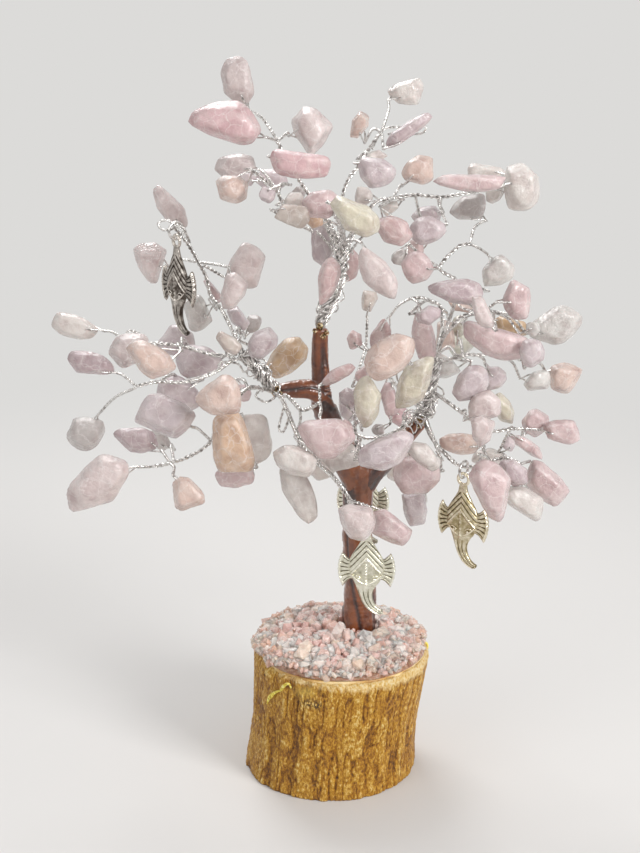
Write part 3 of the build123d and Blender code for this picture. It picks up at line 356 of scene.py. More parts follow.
# %% The bark
LOG_HEIGHT, BARK_TOP, LEAN = 37.0, 36.4, 3.4
BARK_THICKNESS = 2.0
LIP_HEIGHT, LIP_DEPTH = 2.4, 1.1  # the bark's worn upper edge
FOLDS, FOLD_DEPTH, FURROW_DEPTH = 45, 0.62, 0.5
profile_height_shares = [0, 0.12, 0.42, 0.8, 1]
profile_waist_shares = [0, 0.35, 0.8, 0.3, 0]
fold_shares = np.array([0, 0.9, 0.2, 1, 0.4, 0.75, 0.1, 0.85, 0.35] * 5 + [0])


def log_radius(share):
    """The log's radius at a share of its height: foot to top, less the waist."""
    return 25.6 + 0.4 * share - 1.6 * np.interp(share, profile_height_shares, profile_waist_shares)


def furrow_relief(around, height):
    """From 0 in a furrow to 1 on a ridge: layers of ridged noise with wandering sides."""
    bend = 0.004 * lattice_noise(around, height / 8, (30, 1), 3)
    coarse = 1 - np.abs(lattice_noise(around + bend, height / 9, (84, 1), 5))
    fine = 1 - np.abs(lattice_noise(around + bend * 0.6, height / 3.5, (190, 1), 7))
    crumbs = lattice_noise(around, height / 0.8, (220, 1), 9)
    furrow = np.clip((coarse - 0.62) / 0.38, 0, 1) ** 1.4 + 0.4 * np.clip((fine - 0.7) / 0.3, 0, 1)
    return np.clip(0.86 - 0.7 * furrow + 0.24 * crumbs, 0, 1)


bark_columns, bark_rows = 660, 100
around = np.arange(bark_columns) / bark_columns
angle = around * 2 * math.pi
heights = np.linspace(0.1, BARK_TOP, bark_rows)
grid_around, grid_height = np.meshgrid(around, heights)
relief = furrow_relief(grid_around, grid_height)
drift = 0.35 * lattice_noise(grid_around, grid_height / 20, (12, 1), 4)
fold = np.interp((grid_around * FOLDS + drift) % FOLDS, np.arange(FOLDS + 1), fold_shares)
lip = np.clip((grid_height - BARK_TOP + LIP_HEIGHT) / LIP_HEIGHT, 0, 1)
foot = np.clip((0.9 - grid_height) / 0.9, 0, 1)
bark_radius = log_radius(grid_height / LOG_HEIGHT) - FOLD_DEPTH * fold - FURROW_DEPTH * (1 - relief)
bark_radius += 0.12 - LIP_DEPTH * lip**1.6 - 0.25 * foot**2
inner_radius = log_radius(heights / LOG_HEIGHT)[::-1] - BARK_THICKNESS
all_radius = np.concatenate([bark_radius, np.tile(inner_radius[:, None], bark_columns)])
all_height = np.concatenate([grid_height, np.tile(heights[::-1][:, None], bark_columns)])
all_height[bark_rows - 1] += 0.4 * lattice_noise(around, around * 0, (90, 1), 15)
middle_x = LEAN * all_height / LOG_HEIGHT
bark_points = np.stack([middle_x + all_radius * np.cos(angle), all_radius * np.sin(angle), all_height],
                       axis=-1)
bark_faces = grid_faces(2 * bark_rows, bark_columns)
last_row = (2 * bark_rows - 1) * bark_columns
bark_faces += [[last_row + k, last_row + (k + 1) % bark_columns, (k + 1) % bark_columns, k]
               for k in range(bark_columns)]
# The colour darkens in the furrows and in the deep folds: painted shade, carried to the material with the
# relief.
fold_shade = 1 - 0.35 * np.concatenate([fold, np.full_like(fold, 0.5)])
bark_relief = np.concatenate([relief, np.full_like(relief, 0.4)]) * fold_shade
print("bark radius", bark_radius.min().round(1), "to", bark_radius.max().round(1), "mm")

# %% [markdown]
# The bark has two marks, a small dark knot and a paler patch of inner bark. Each is placed by its
# pixel, falls off smoothly and reaches the material as an attribute of the mesh.

# %% Marks on the bark
def patch(points, u, v, wide, high):
    """1 at a pixel on the near side, falling off as exp(-r^2) over a width and height in pixels."""
    pixels = pixel_of(points)
    near = (points[..., 1] < 0) * 1.0
    return near * np.exp(-((pixels[..., 0] - u) / wide) ** 2 - ((pixels[..., 1] - v) / high) ** 2)


knot = np.clip(patch(bark_points, 308, 703, 8, 4) + patch(bark_points, 318, 706, 5, 3.5), 0, 1)
moss = np.clip(patch(bark_points, 305, 692, 11, 5) + 0.6 * patch(bark_points, 272, 668, 8, 5), 0, 1)
print(int((knot > 0.5).sum()), "points in the knot and", int((moss > 0.5).sum()), "in the patch")

# %% [markdown]
# Varnished bark is golden brown on the ridges; its furrows and deep folds are painted dark brown as
# their shade. Its skin is made of grains under a millimetre across, which glint under the varnish, so
# the clear coat follows the grains too. The relief is a mesh attribute, and the colour follows it.

# %% Varnished bark
varnished_bark, tree, shader, where = start_material("varnished_bark", Roughness=0.5, IOR=1.5)
shader.inputs["Specular IOR Level"].default_value = 0.35
shader.inputs["Coat Weight"].default_value = 0.3
shader.inputs["Coat Roughness"].default_value = 0.14
# This relief value paints the shade of the furrows and folds into the colour.
relief_as_shade = add_node(tree, "Attribute", attribute_name="relief").outputs["Fac"]
stretched = add_node(tree, "Mapping", {"Vector": where, "Scale": (1, 1, 0.5)})
upright = add_node(tree, "Mapping", {"Vector": where, "Scale": (1, 1, 0.12)})
grains = add_node(tree, "TexNoise", noise_sockets(stretched, 0.55, 4, 0.7))
streaks = add_node(tree, "TexNoise", noise_sockets(upright, 1.3, 4, 0.6))
patches = add_node(tree, "TexNoise", noise_sockets(where, 8.0, 3, 0.5))
mixed = add_node(tree, "Math", {0: grains, 1: 1.15}, operation="MULTIPLY")
mixed = add_node(tree, "Math", {0: relief_as_shade, 1: 0.36, 2: mixed}, operation="MULTIPLY_ADD")
mixed = add_node(tree, "Math", {0: streaks, 1: 0.2, 2: mixed}, operation="MULTIPLY_ADD")
mixed = add_node(tree, "Math", {0: patches, 1: 0.06, 2: mixed}, operation="MULTIPLY_ADD")
mixed = add_node(tree, "Math", {0: mixed, 1: 1.73}, operation="DIVIDE")
bark_colour = add_node(tree, "ValToRGB", {"Fac": mixed}, stops=[
    (0.31, "#382006"), (0.41, "#7b4b0b"), (0.5, "#ad7516"), (0.59, "#d3a036"), (0.69, "#f5e09c")])
right_value, _, height_value = add_node(tree, "SeparateXYZ", {"Vector": where}).outputs
tears = add_node(tree, "TexNoise", noise_sockets(upright, 1.6, 5, 0.7))
ragged = add_node(tree, "Math", {0: tears, 1: 0.0065, 2: height_value}, operation="MULTIPLY_ADD")
ragged = add_node(tree, "Math", {0: right_value, 1: 0.07, 2: ragged}, operation="MULTIPLY_ADD")
lip_share = add_node(tree, "MapRange", {"Value": ragged, "From Min": 0.0376, "From Max": 0.0392})
pale_rim = add_node(tree, "ValToRGB", {"Fac": grains}, stops=[
    (0.32, "#b5842f"), (0.45, "#e6bd6c"), (0.62, "#f6e2b4")])
whole = add_node(tree, "MixRGB", {"Fac": lip_share, "Color1": bark_colour, "Color2": pale_rim})
knot_value = add_node(tree, "Attribute", attribute_name="knot").outputs["Fac"]
knot_specks = add_node(tree, "MapRange", {"Value": grains, "From Min": 0.56, "From Max": 0.46})
knot_share = add_node(tree, "Math", {0: knot_value, 1: knot_specks}, operation="MULTIPLY")
knotted = add_node(tree, "MixRGB", {"Fac": knot_share, "Color1": whole, "Color2": to_linear("#2b2622")})
moss_value = add_node(tree, "Attribute", attribute_name="pale_patch").outputs["Fac"]
moss_share = add_node(tree, "Math", {0: moss_value, 1: grains}, operation="MULTIPLY")
mossy = add_node(tree, "MixRGB", {"Fac": moss_share, "Color1": knotted, "Color2": to_linear("#e6c763")})
tree.links.new(mossy.outputs[0], shader.inputs["Base Color"])
bump = add_node(tree, "Bump", {"Height": grains, "Distance": 0.0009, "Strength": 0.9})
tree.links.new(bump.outputs[0], shader.inputs["Normal"])
tree.links.new(bump.outputs[0], shader.inputs["Coat Normal"])
add_piece("bark", [(bark_points, bark_faces)], varnished_bark, "tree", ["log_bark"],
          values={"relief": bark_relief.ravel(), "knot": knot.ravel(), "pale_patch": moss.ravel()})

# %% [markdown]
# Torn strands of yellow inner bark stick out under the rim. Each is a thin tapered strip that
# follows a few pixels on the bark's near side; the depth of a pixel is where the log's radius is met.

# %% Torn fibres
def on_bark(u, v, out):
    """The place seen at a pixel on the near side of the bark, this far outside its radius."""
    spot = place(u, v, -20)
    for _ in range(8):
        radius = log_radius(spot[2] / LOG_HEIGHT) + out
        across = spot[0] - LEAN * spot[2] / LOG_HEIGHT
        spot = place(u, v, -math.sqrt(max(radius**2 - across**2, 1)))
    return spot


fibre_routes = [
    [(267, 704, 0.8), (269, 698, 0.4), (274, 693, 0.1), (282, 690, 0.0)],
    [(269, 700, 0.6), (273, 694, 0.3), (279, 691, 0.1)],
    [(280, 691, 0.1), (285, 685, 0.4), (289, 684, 0.5), (291, 688, 0.3)],
]
fibre_spots = [[on_bark(*point) for point in points] for points in fibre_routes]
rim_fibre = [(424, 641, 4), (427, 645, 4.5), (427, 652, 3.5)]  # at the right edge, just past the middle
fibre_spots.append([place(*point) for point in rim_fibre])
fibres = []
for spots in fibre_spots:
    path = smooth_path(spots, 0.4)
    fibres.append(tube(path, np.interp(np.linspace(0, 1, len(path)), [0, 0.3, 1], [0.14, 0.55, 0.22]), 8))
inner_bark, tree, shader, where = start_material("torn_inner_bark", Roughness=0.45, IOR=1.5)
strands = add_node(tree, "TexNoise", noise_sockets(where, 0.7, 4, 0.6))
yellow = add_node(tree, "ValToRGB", {"Fac": strands}, stops=[
    (0.36, "#b99a22"), (0.5, "#ecd84e"), (0.64, "#f7f0a4")])
tree.links.new(yellow.outputs[0], shader.inputs["Base Color"])
bump = add_node(tree, "Bump", {"Height": strands, "Distance": 0.0003, "Strength": 0.6})
tree.links.new(bump.outputs[0], shader.inputs["Normal"])
add_piece("torn_fibres", fibres, inner_bark, "tree")

# %% [markdown]
# The core shows only as the pale sawn rim under the stones, and as the underside. Growth rings
# are circles about the pith, bent by noise. The solid runs up the side, over the rim and back in.

# %% The wooden core
core_columns = 240
core_rows = [(0.0, 0.05), (8.0, 0.05), (16.0, 0.05), (22.2, 0.05), (22.5, 0.4), (22.5, 18.0), (23.4, 35.6),
             (24.3, 36.2), (24.4, 36.6), (24.0, 37.0), (21.5, 37.05), (8.0, 37.05), (0.0, 37.05)]
core_profile = np.array(core_rows)
core_around = np.arange(core_columns) / core_columns
ragged_rim = 0.35 * lattice_noise(core_around, core_around * 0, (50, 1), 17)
core_radius = core_profile[1:-1, 0][:, None] + ragged_rim * (core_profile[1:-1, 0] > 22)[:, None]
core_height = np.broadcast_to(core_profile[1:-1, 1][:, None], core_radius.shape)
core_angle = core_around * 2 * math.pi
core_points = np.stack([LEAN * core_height / LOG_HEIGHT + core_radius * np.cos(core_angle),
                        core_radius * np.sin(core_angle), core_height], axis=-1)
sapwood, tree, shader, where = start_material("sawn_sapwood", Roughness=0.5, IOR=1.5)
shader.inputs["Coat Weight"].default_value = 0.4
shader.inputs["Coat Roughness"].default_value = 0.2
rings = add_node(tree, "TexWave", {"Vector": where, "Scale": 110.0, "Distortion": 2.2, "Detail": 2.0,
                                   "Detail Scale": 0.6}, wave_type="RINGS", rings_direction="Z")
fibre = add_node(tree, "TexNoise", noise_sockets(where, 0.5, 6, 0.7))
ring_share = add_node(tree, "Math", {0: rings, 1: 0.55}, operation="MULTIPLY")
ring_share = add_node(tree, "Math", {0: fibre, 1: 0.6, 2: ring_share}, operation="MULTIPLY_ADD")
wood = add_node(tree, "ValToRGB", {"Fac": ring_share}, stops=[
    (0.2, "#9c6a2c"), (0.5, "#d9ac60"), (0.85, "#f4dca8")])
tree.links.new(wood.outputs[0], shader.inputs["Base Color"])
bump = add_node(tree, "Bump", {"Height": ring_share, "Distance": 0.0002, "Strength": 0.6})
tree.links.new(bump.outputs[0], shader.inputs["Normal"])
add_piece("core", [(core_points, grid_faces(len(core_points), core_columns, caps=True))], sapwood, "tree",
          ["log_core"])

# %% [markdown]
# ## The heap of crushed stone
# The stones sit in clear glue that has gone tea brown. Crushed quartz breaks into splinters with
# flat faces and sharp edges. The glue bed is a low dome of rings that shrink towards its middle.

# %% The glue bed
trunk_foot = place(360, 628)
HEAP_RADIUS = 24.4
HEAP_REACH = 26.1  # how far the outermost stones lie from the middle


def heap_height(share):
    """The height of the glue's dome at a share of the way from its middle to its rim."""
    return np.interp(share, [0, 0.3, 0.68, 0.97, 1.0], [41.6, 41.2, 40.0, 38.3, 37.2])


bed_share = np.linspace(0.02, 1.0, 40)[::-1][:, None]
bed_around = np.arange(120)[None] / 120
bed_lumps = 0.35 * lattice_noise(bed_around, bed_share * 6, (20, 1), 19)
bed_radius = HEAP_RADIUS * bed_share + 0.3 * lattice_noise(bed_around, bed_share * 5, (16, 1), 21)
bed_points = np.stack([LEAN + bed_radius * np.cos(bed_around * 2 * math.pi),
                       bed_radius * np.sin(bed_around * 2 * math.pi),
                       heap_height(bed_share) + bed_lumps * (bed_share < 0.98)], axis=-1)
clear_glue, tree, shader, where = start_material("clear_glue", Roughness=0.12, IOR=1.49)
shader.inputs["Transmission Weight"].default_value = 0.25
shader.inputs["Subsurface Weight"].default_value = 0.3
shader.inputs["Subsurface Scale"].default_value = 0.002
crumbs = add_node(tree, "TexNoise", noise_sockets(where, 1.6, 5, 0.6))
glue_colour = add_node(tree, "ValToRGB", {"Fac": crumbs}, stops=[
    (0.3, "#8f5d42"), (0.5, "#c59a7e"), (0.72, "#ecd3c2")])
tree.links.new(glue_colour.outputs[0], shader.inputs["Base Color"])
bump = add_node(tree, "Bump", {"Height": crumbs, "Distance": 0.0006, "Strength": 0.8})
tree.links.new(bump.outputs[0], shader.inputs["Normal"])
add_piece("glue", [(bed_points, grid_faces(40, 120, caps=True))], clear_glue, "tree",
          ["glue_bed"])

# %% [markdown]
# Each crushed stone is a jittered icosahedron with flat shading: twenty faces are enough. About nine
# hundred lie on the dome, with small crumbs along its rim and a gap for the trunk. In front they
# stop short of the log's pale rim.

# %% Crushed stones
golden = (1 + 5**0.5) / 2
ico = [(-1, golden, 0), (1, golden, 0), (-1, -golden, 0), (1, -golden, 0), (0, -1, golden), (0, 1, golden),
       (0, -1, -golden), (0, 1, -golden), (golden, 0, -1), (golden, 0, 1), (-golden, 0, -1),
       (-golden, 0, 1)]
ico = np.array(ico) / math.hypot(1, golden)
ico_faces = np.array([
    (0, 11, 5), (0, 5, 1), (0, 1, 7), (0, 7, 10), (0, 10, 11), (1, 5, 9), (5, 11, 4), (11, 10, 2),
    (10, 7, 6), (7, 1, 8), (3, 9, 4), (3, 4, 2), (3, 2, 6), (3, 6, 8), (3, 8, 9), (4, 9, 5), (2, 4, 11),
    (6, 2, 10), (8, 6, 7), (9, 8, 1)])
rng = np.random.default_rng(23)
stone_count, rim_crumbs = 940, 260
share = np.sqrt(rng.uniform(0, 1, stone_count))
share[:rim_crumbs] = rng.uniform(0.955, 0.995, rim_crumbs)
turn = rng.uniform(0, 2 * math.pi, stone_count)
size = rng.choice([3.5, 2.8, 2.0, 1.2], stone_count, p=[0.22, 0.36, 0.27, 0.15])
size[:rim_crumbs] = rng.choice([1.0, 1.5], rim_crumbs)
size *= rng.uniform(0.85, 1.15, stone_count)
layer = rng.uniform(0, 1, stone_count)
front = np.clip((np.cos(turn + 1.25) - 0.05) / 0.4, 0, 1) * share**4
front[:rim_crumbs] *= rng.uniform(0.35, 0.9, rim_crumbs)
reach = (HEAP_REACH - 0.5 * size) * share - 2.9 * front
stone_x = LEAN + reach * np.cos(turn)
stone_y = reach * np.sin(turn)
stone_z = heap_height(share) - 0.3 + 1.6 * layer * (1 - 0.5 * share**3)
stone_z += (2.4 - size) * 0.4 + 0.7 * front
apart = np.hypot(stone_x - trunk_foot[0], stone_y - trunk_foot[1])
kept = apart > 4.4 + 0.55 * size
near_trunk = np.clip(1 - (apart - 5) / 6, 0, 1)
stone_z += 1.1 * near_trunk
shape = ico[None] * rng.uniform(0.8, 1.12, (stone_count, 12, 1))
shape = shape * rng.uniform([0.85, 0.65, 0.5], [1.2, 0.95, 0.8], (stone_count, 3))[:, None]
spins = np.linalg.qr(rng.normal(size=(stone_count, 3, 3)))[0]
spins *= np.sign(np.linalg.det(spins))[:, None, None]
stones = np.einsum("nij,nkj->nki", spins, shape) * size[:, None, None]
stones += np.stack([stone_x, stone_y, stone_z], axis=-1)[:, None]
stones = stones[kept]
stone_faces = (ico_faces[None] + 12 * np.arange(len(stones))[:, None, None]).reshape(-1, 3).tolist()
print(len(stones), "crushed stones, each up to", size.max().round(1), "mm from its middle")

# %% [markdown]
# A crushed stone's tone comes from a small palette. It is warmer near the rim, where more of the
# brown glue shows through, and darker beside the trunk, where the trunk's shadow is painted in.

# %% Tones of the crushed stones
palette = np.array([to_linear(code) for code in (
    "#fbddd6", "#fdefeb", "#f7cfc8", "#fff8f5", "#f2c9bd", "#fbe5d6", "#f5d0c8", "#fdf0ec")])
stone_tones = palette[rng.integers(0, len(palette), len(stones))]
stone_tones[:, :3] *= rng.uniform(0.93, 1.0, (len(stones), 1))
seen_at = pixel_of(np.c_[stone_x, stone_y, stone_z][kept])
# A painted shadow of the trunk: the stones beside it are blended towards a brown grey.
trunk_shadow = 0.35 * np.exp(-((seen_at[:, 0] - 312) / 20) ** 2 - ((seen_at[:, 1] - 622) / 13) ** 2)[:, None]
stone_tones = stone_tones * (1 - trunk_shadow) + np.array(to_linear("#b08d84")) * trunk_shadow
warm = np.clip((np.hypot(stone_x - LEAN, stone_y)[kept] - 17) / 8, 0, 1)[:, None]
warm = warm * rng.uniform(0, 0.55, (len(stones), 1))
stone_tones = stone_tones * (1 - warm) + np.array(to_linear("#dcae7c")) * warm
print("mean tone", stone_tones[:, :3].mean(axis=0).round(2))

# %% [markdown]
# Rose quartz is a milky, faintly cloudy quartz: light enters, scatters and comes out pink. Its
# index is 1.544. Crushed, its faces are sharp and glassy with sugary patches; tumbled, they are
# round with a wet gloss. Both share one recipe, and each stone brings its own tone as a colour
# attribute.

# %% Quartz
def quartz(name, cloud_size, roughness, transmission, bump_size, milk):
    """Milky quartz: the stone's tone times soft clouds, with thin white cracks inside."""
    material, tree, shader, where = start_material(name, Roughness=roughness, IOR=1.544)
    shader.inputs["Transmission Weight"].default_value = transmission
    shader.inputs["Coat Weight"].default_value = 0.6
    shader.inputs["Coat Roughness"].default_value = 0.05
    shader.inputs["Subsurface Weight"].default_value = milk
    shader.inputs["Subsurface Radius"].default_value = (1.0, 0.85, 0.85)
    shader.inputs["Subsurface Scale"].default_value = 0.001
    tone = add_node(tree, "Attribute", attribute_name="stone_tone").outputs["Color"]
    clouds = add_node(tree, "TexNoise", noise_sockets(where, cloud_size, 5, 0.6))
    cloud_colour = add_node(tree, "ValToRGB", {"Fac": clouds}, stops=[
        (0.3, "#d6cbc8"), (0.48, "#efebe7"), (0.66, "#fffefa")])
    milky = add_node(tree, "MixRGB", {"Fac": 1.0, "Color1": tone, "Color2": cloud_colour},
                     blend_type="MULTIPLY")
    bend = add_node(tree, "TexNoise", noise_sockets(where, cloud_size * 0.8, 3, 0.6)).outputs["Color"]
    bent = add_node(tree, "VectorMath", {0: bend, 1: (0.003, 0.003, 0.003), 2: where},
                    operation="MULTIPLY_ADD")
    cells = add_node(tree, "TexVoronoi", {"Vector": bent, "Scale": 1 / (cloud_size * 0.9 * METRE)},
                     feature="DISTANCE_TO_EDGE")
    crack = add_node(tree, "ValToRGB", {"Fac": cells}, stops=[
        (0.0, "#c8c8c8"), (0.016, "#6a6a6a"), (0.04, "#000000")])
    veined = add_node(tree, "MixRGB", {"Fac": crack, "Color1": milky, "Color2": to_linear("#fffaf8")})
    # Pale edges: worn frost on the stones' edges, together with a painted glow where light shines through
    # them.
    frost_and_glow = add_node(tree, "Attribute", attribute_name="edge_frost_and_glow").outputs["Fac"]
    frost_and_glow_share = add_node(tree, "Math", {0: frost_and_glow, 1: 0.24}, operation="MULTIPLY")
    frosted_and_glowing = add_node(tree, "MixRGB", {"Fac": frost_and_glow_share, "Color1": veined, "Color2": to_linear("#fff8f3")})
    tree.links.new(frosted_and_glowing.outputs[0], shader.inputs["Base Color"])
    pits = add_node(tree, "TexNoise", noise_sockets(where, bump_size, 5, 0.65))
    bump = add_node(tree, "Bump", {"Height": pits, "Distance": 0.0012, "Strength": 0.5})
    tree.links.new(bump.outputs[0], shader.inputs["Normal"])
    tree.links.new(bump.outputs[0], shader.inputs["Coat Normal"])
    return material


crushed_quartz = quartz("crushed_rose_quartz", 3.0, 0.15, 0.08, 1.2, 0.75)
add_piece("crushed_stones", [(stones.reshape(-1, 3), stone_faces)], crushed_quartz, "tree",
          ["gravel_chips"], smooth=False, values={"stone_tone": np.repeat(stone_tones, 12, axis=0)})

# %% [markdown]
# ## The trunk
# A moulded trunk in glossy brown resin: a post, a fork, and arms that end where the wire bundles
# come out. Each limb is a tube that tapers along its route; a voxel remesh melts the tubes into one
# skin, as the mould would. The tubes are only a mould, so the bark's material serves them.

# %% Limbs and remesh
limb_routes = {
    "post": ([(360, 640, 0), (360, 628, 0), (360, 590, 0), (359, 545, 0), (358, 505, 0), (358, 478, 0),
              (356, 466, 0)], [5.3, 5.1, 4.6, 4.4, 4.4, 4.7, 3.6]),
    "lower": ([(358, 492, 0), (350, 468, 0), (342, 452, 0), (329, 422, 0), (322, 400, 0), (321, 384, 0)],
              [4.0, 4.4, 4.5, 3.8, 3.5, 2.7]),
    "top": ([(322, 408, 0), (320, 378, 0), (320, 352, 0), (320, 328, 0)], [3.4, 2.8, 2.6, 2.2]),
    "left": ([(328, 402, 0), (312, 391, -0.03), (294, 390, -0.06), (278, 391, -0.1)], [2.7, 2.8, 2.6, 2.2]),
    "right": ([(359, 488, 0), (378, 464, 0.06), (400, 442, 0.1), (420, 422, 0.12)], [4.0, 3.7, 2.9, 2.2]),
}
limbs, limb_paths, limb_radii = [], {}, {}
for name, (points, radii) in limb_routes.items():
    path = smooth_path(route(points), 1.0)
    stations = np.linspace(0, len(path) - 1, len(radii))
    radius = np.interp(np.arange(len(path)), stations, radii)
    limb_paths[name], limb_radii[name] = path, radius
    limbs.append(tube(path, radius, 28))
cast = add_piece("trunk_cast", limbs, varnished_bark, "tree")
remesh = cast.modifiers.new("melt", "REMESH")
remesh.mode, remesh.voxel_size = "VOXEL", 0.36 * METRE
soften = cast.modifiers.new("soften", "SMOOTH")
soften.iterations, soften.factor = 14, 0.6
bpy.context.view_layer.update()
melted = cast.evaluated_get(bpy.context.evaluated_depsgraph_get()).to_mesh()
skin = np.empty(len(melted.vertices) * 3)
melted.vertices.foreach_get("co", skin)
skin = skin.reshape(-1, 3) / METRE
normals = np.empty(len(melted.vertices) * 3)
melted.vertices.foreach_get("normal", normals)
normals = normals.reshape(-1, 3)
skin_faces = [list(face.vertices) for face in melted.polygons]
bpy.data.objects.remove(cast)
print("trunk skin", len(skin), "points")

# %% [markdown]
# The resin copies old wood: grooves run along each limb and turn slowly round it. Every point of the
# skin finds its nearest limb, and so how far along and how far round that limb it is. A groove lies
# where a noise of the two is near zero, and the point moves inwards by exp(-(noise / width) ** 2).

# %% Grooves along the grain
best = np.full(len(skin), 1e9)
along_limb, around_limb = np.zeros(len(skin)), np.zeros(len(skin))
for number, (name, path) in enumerate(limb_paths.items()):
    _, side, up = frames_along(path)
    gaps = np.linalg.norm(skin[:, None] - path[None], axis=2) - limb_radii[name]
    nearest = gaps.argmin(axis=1)
    gap = gaps[np.arange(len(skin)), nearest]
    away = skin - path[nearest]
    spin = np.arctan2((away * up[nearest]).sum(axis=1), (away * side[nearest]).sum(axis=1)) / (2 * math.pi)
    closer = gap < best
    best = np.where(closer, gap, best)
    along_limb = np.where(closer, lengths_along(path)[nearest] + 40 * number, along_limb)
    around_limb = np.where(closer, spin + 0.13 * number, around_limb)
twisted = around_limb + along_limb * 0.004
groove = np.abs(lattice_noise(twisted + 0.02 * lattice_noise(around_limb, along_limb / 9, (5, 1), 29),
                              along_limb / 26, (6, 1), 31))
fine_groove = np.abs(lattice_noise(twisted, along_limb / 14, (17, 1), 33))
lumps = lattice_noise(around_limb, along_limb / 8, (3, 1), 35)
lumps += 0.4 * lattice_noise(around_limb, along_limb / 3, (7, 1), 36)
carve = 0.4 * np.exp(-(groove / 0.2) ** 2) + 0.08 * np.exp(-(fine_groove / 0.3) ** 2) - 0.42 * lumps
skin = skin - normals * carve[:, None]
# This relief is dark in the grooves, and the resin's colour follows it as painted shade.
skin_groove_shade = 1 - 0.6 * np.exp(-(groove / 0.22) ** 2) - 0.15 * np.exp(-(fine_groove / 0.3) ** 2)
skin_groove_shade = np.clip(skin_groove_shade, 0, 1)
print("grooves up to", round(float(carve.max()), 2), "mm deep")

# %% [markdown]
# Polyester resin is tinted brown and poured: a warm red brown under a gloss like varnish. The grooves
# are painted nearly black as their shade. Shallow dimples bend the gloss as a hand-made mould does.

# %% Brown resin
trunk_resin, tree, shader, where = start_material("brown_resin", Roughness=0.3, IOR=1.52)
shader.inputs["Coat Weight"].default_value = 1.0
shader.inputs["Coat Roughness"].default_value = 0.05
shader.inputs["Subsurface Weight"].default_value = 0.08
shader.inputs["Subsurface Scale"].default_value = 0.002
# The relief attribute paints the grooves' shade into the resin's colour.
relief_as_shade = add_node(tree, "Attribute", attribute_name="relief").outputs["Fac"]
streaks = add_node(tree, "TexNoise", noise_sockets(where, 3.0, 5, 0.6))
blend = add_node(tree, "Math", {0: streaks, 1: 0.6}, operation="MULTIPLY")
blend = add_node(tree, "Math", {0: relief_as_shade, 1: 0.6, 2: blend}, operation="MULTIPLY_ADD")
resin_colour = add_node(tree, "ValToRGB", {"Fac": blend}, stops=[
    (0.3, "#100401"), (0.5, "#301004"), (0.7, "#552309"), (0.9, "#834418")])
tree.links.new(resin_colour.outputs[0], shader.inputs["Base Color"])
dimples = add_node(tree, "TexNoise", noise_sockets(where, 2.0, 3, 0.5))
bump = add_node(tree, "Bump", {"Height": dimples, "Distance": 0.0012, "Strength": 0.5})
tree.links.new(bump.outputs[0], shader.inputs["Normal"])
skin_bump = add_node(tree, "Bump", {"Height": dimples, "Distance": 0.0006, "Strength": 0.35})
tree.links.new(skin_bump.outputs[0], shader.inputs["Coat Normal"])
add_piece("trunk", [(skin, skin_faces)], trunk_resin, "tree", ["trunk"],
          values={"relief": skin_groove_shade})

# %% [markdown]
# Where a bundle enters its arm the maker left drops of cream glue, in front of it and behind. Each
# is a lumpy ball whose radius is r (1 + 0.3 sin(3 a) sin(4 b)).

# %% Glue at the arm tips
drop_glue, tree, shader, where = start_material("cream_glue", Roughness=0.25, IOR=1.49)
shader.inputs["Subsurface Weight"].default_value = 0.3
shader.inputs["Subsurface Scale"].default_value = 0.001
specks = add_node(tree, "TexNoise", noise_sockets(where, 0.8, 4, 0.6))
cream = add_node(tree, "ValToRGB", {"Fac": specks}, stops=[
    (0.4, "#1d0f06"), (0.5, "#8d6a38"), (0.62, "#f0e0bd")])
tree.links.new(cream.outputs[0], shader.inputs["Base Color"])
bump = add_node(tree, "Bump", {"Height": specks, "Distance": 0.0003, "Strength": 0.5})
tree.links.new(bump.outputs[0], shader.inputs["Normal"])
rng = np.random.default_rng(39)
drop_spots = [
    ([(315, 331), (321, 329), (326, 333), (318, 335), (323, 336), (320, 326)], 0),
    ([(277, 388), (280, 393), (275, 393)], -0.11),
    ([(419, 421), (423, 419), (418, 426)], 0.11),
]
drops = []
for spots, depth in drop_spots:
    for u, v in spots:
        for back in (-1.5, 1.3):
            a = np.linspace(0.2, math.pi - 0.2, 9)[:, None]
            b = np.arange(14) * 2 * math.pi / 14
            radius = rng.uniform(0.45, 0.9) * (1 + 0.3 * np.sin(3 * a) * np.sin(4 * b + u))
            drop = radius[..., None] * np.stack(
                [np.sin(a) * np.cos(b), np.sin(a) * np.sin(b), -np.cos(a) + 0 * b], axis=-1)
            drops.append((drop + place(u, v, depth * CROWN + back), grid_faces(9, 14, caps=True)))
add_piece("glue_drops", drops, drop_glue, "tree")

# %% [markdown]
# ## Twisted wire
# Craft wire is silver-plated copper, drawn up to about 0.6 mm thick here so that it reads. A stem is
# two strands wound round each other, with three more along its inner half, and a twig is one wire
# that runs out, passes through its stone and is wound back on itself. A strand is a helix about the
# stem's path; a round section is carried along the helix.

# %% Silver wire
silver_wire, tree, shader, where = start_material("silver_plated_wire", Roughness=0.24, Metallic=1.0)
tarnish = add_node(tree, "TexNoise", noise_sockets(where, 1.2, 4, 0.6))
wire_colour = add_node(tree, "ValToRGB", {"Fac": tarnish}, stops=[
    (0.34, "#8f8b88"), (0.46, "#d2cfcc"), (0.62, "#f4f3f1")])
tree.links.new(wire_colour.outputs[0], shader.inputs["Base Color"])
scratches = add_node(tree, "TexNoise", noise_sockets(where, 0.3, 3, 0.6))
bump = add_node(tree, "Bump", {"Height": scratches, "Distance": 0.0001, "Strength": 0.3})
tree.links.new(bump.outputs[0], shader.inputs["Normal"])


def twisted_stem(course, strands, wire, pitch, phase=0.0):
    """Strands wound round a smoothed course, side by side about its middle."""
    path = smooth_path(course, 0.4)
    offset = wire / math.sin(math.pi / strands)
    return [tube(strand(path, offset, pitch, phase + 2 * math.pi * k / strands), wire, 5)
            for k in range(strands)]


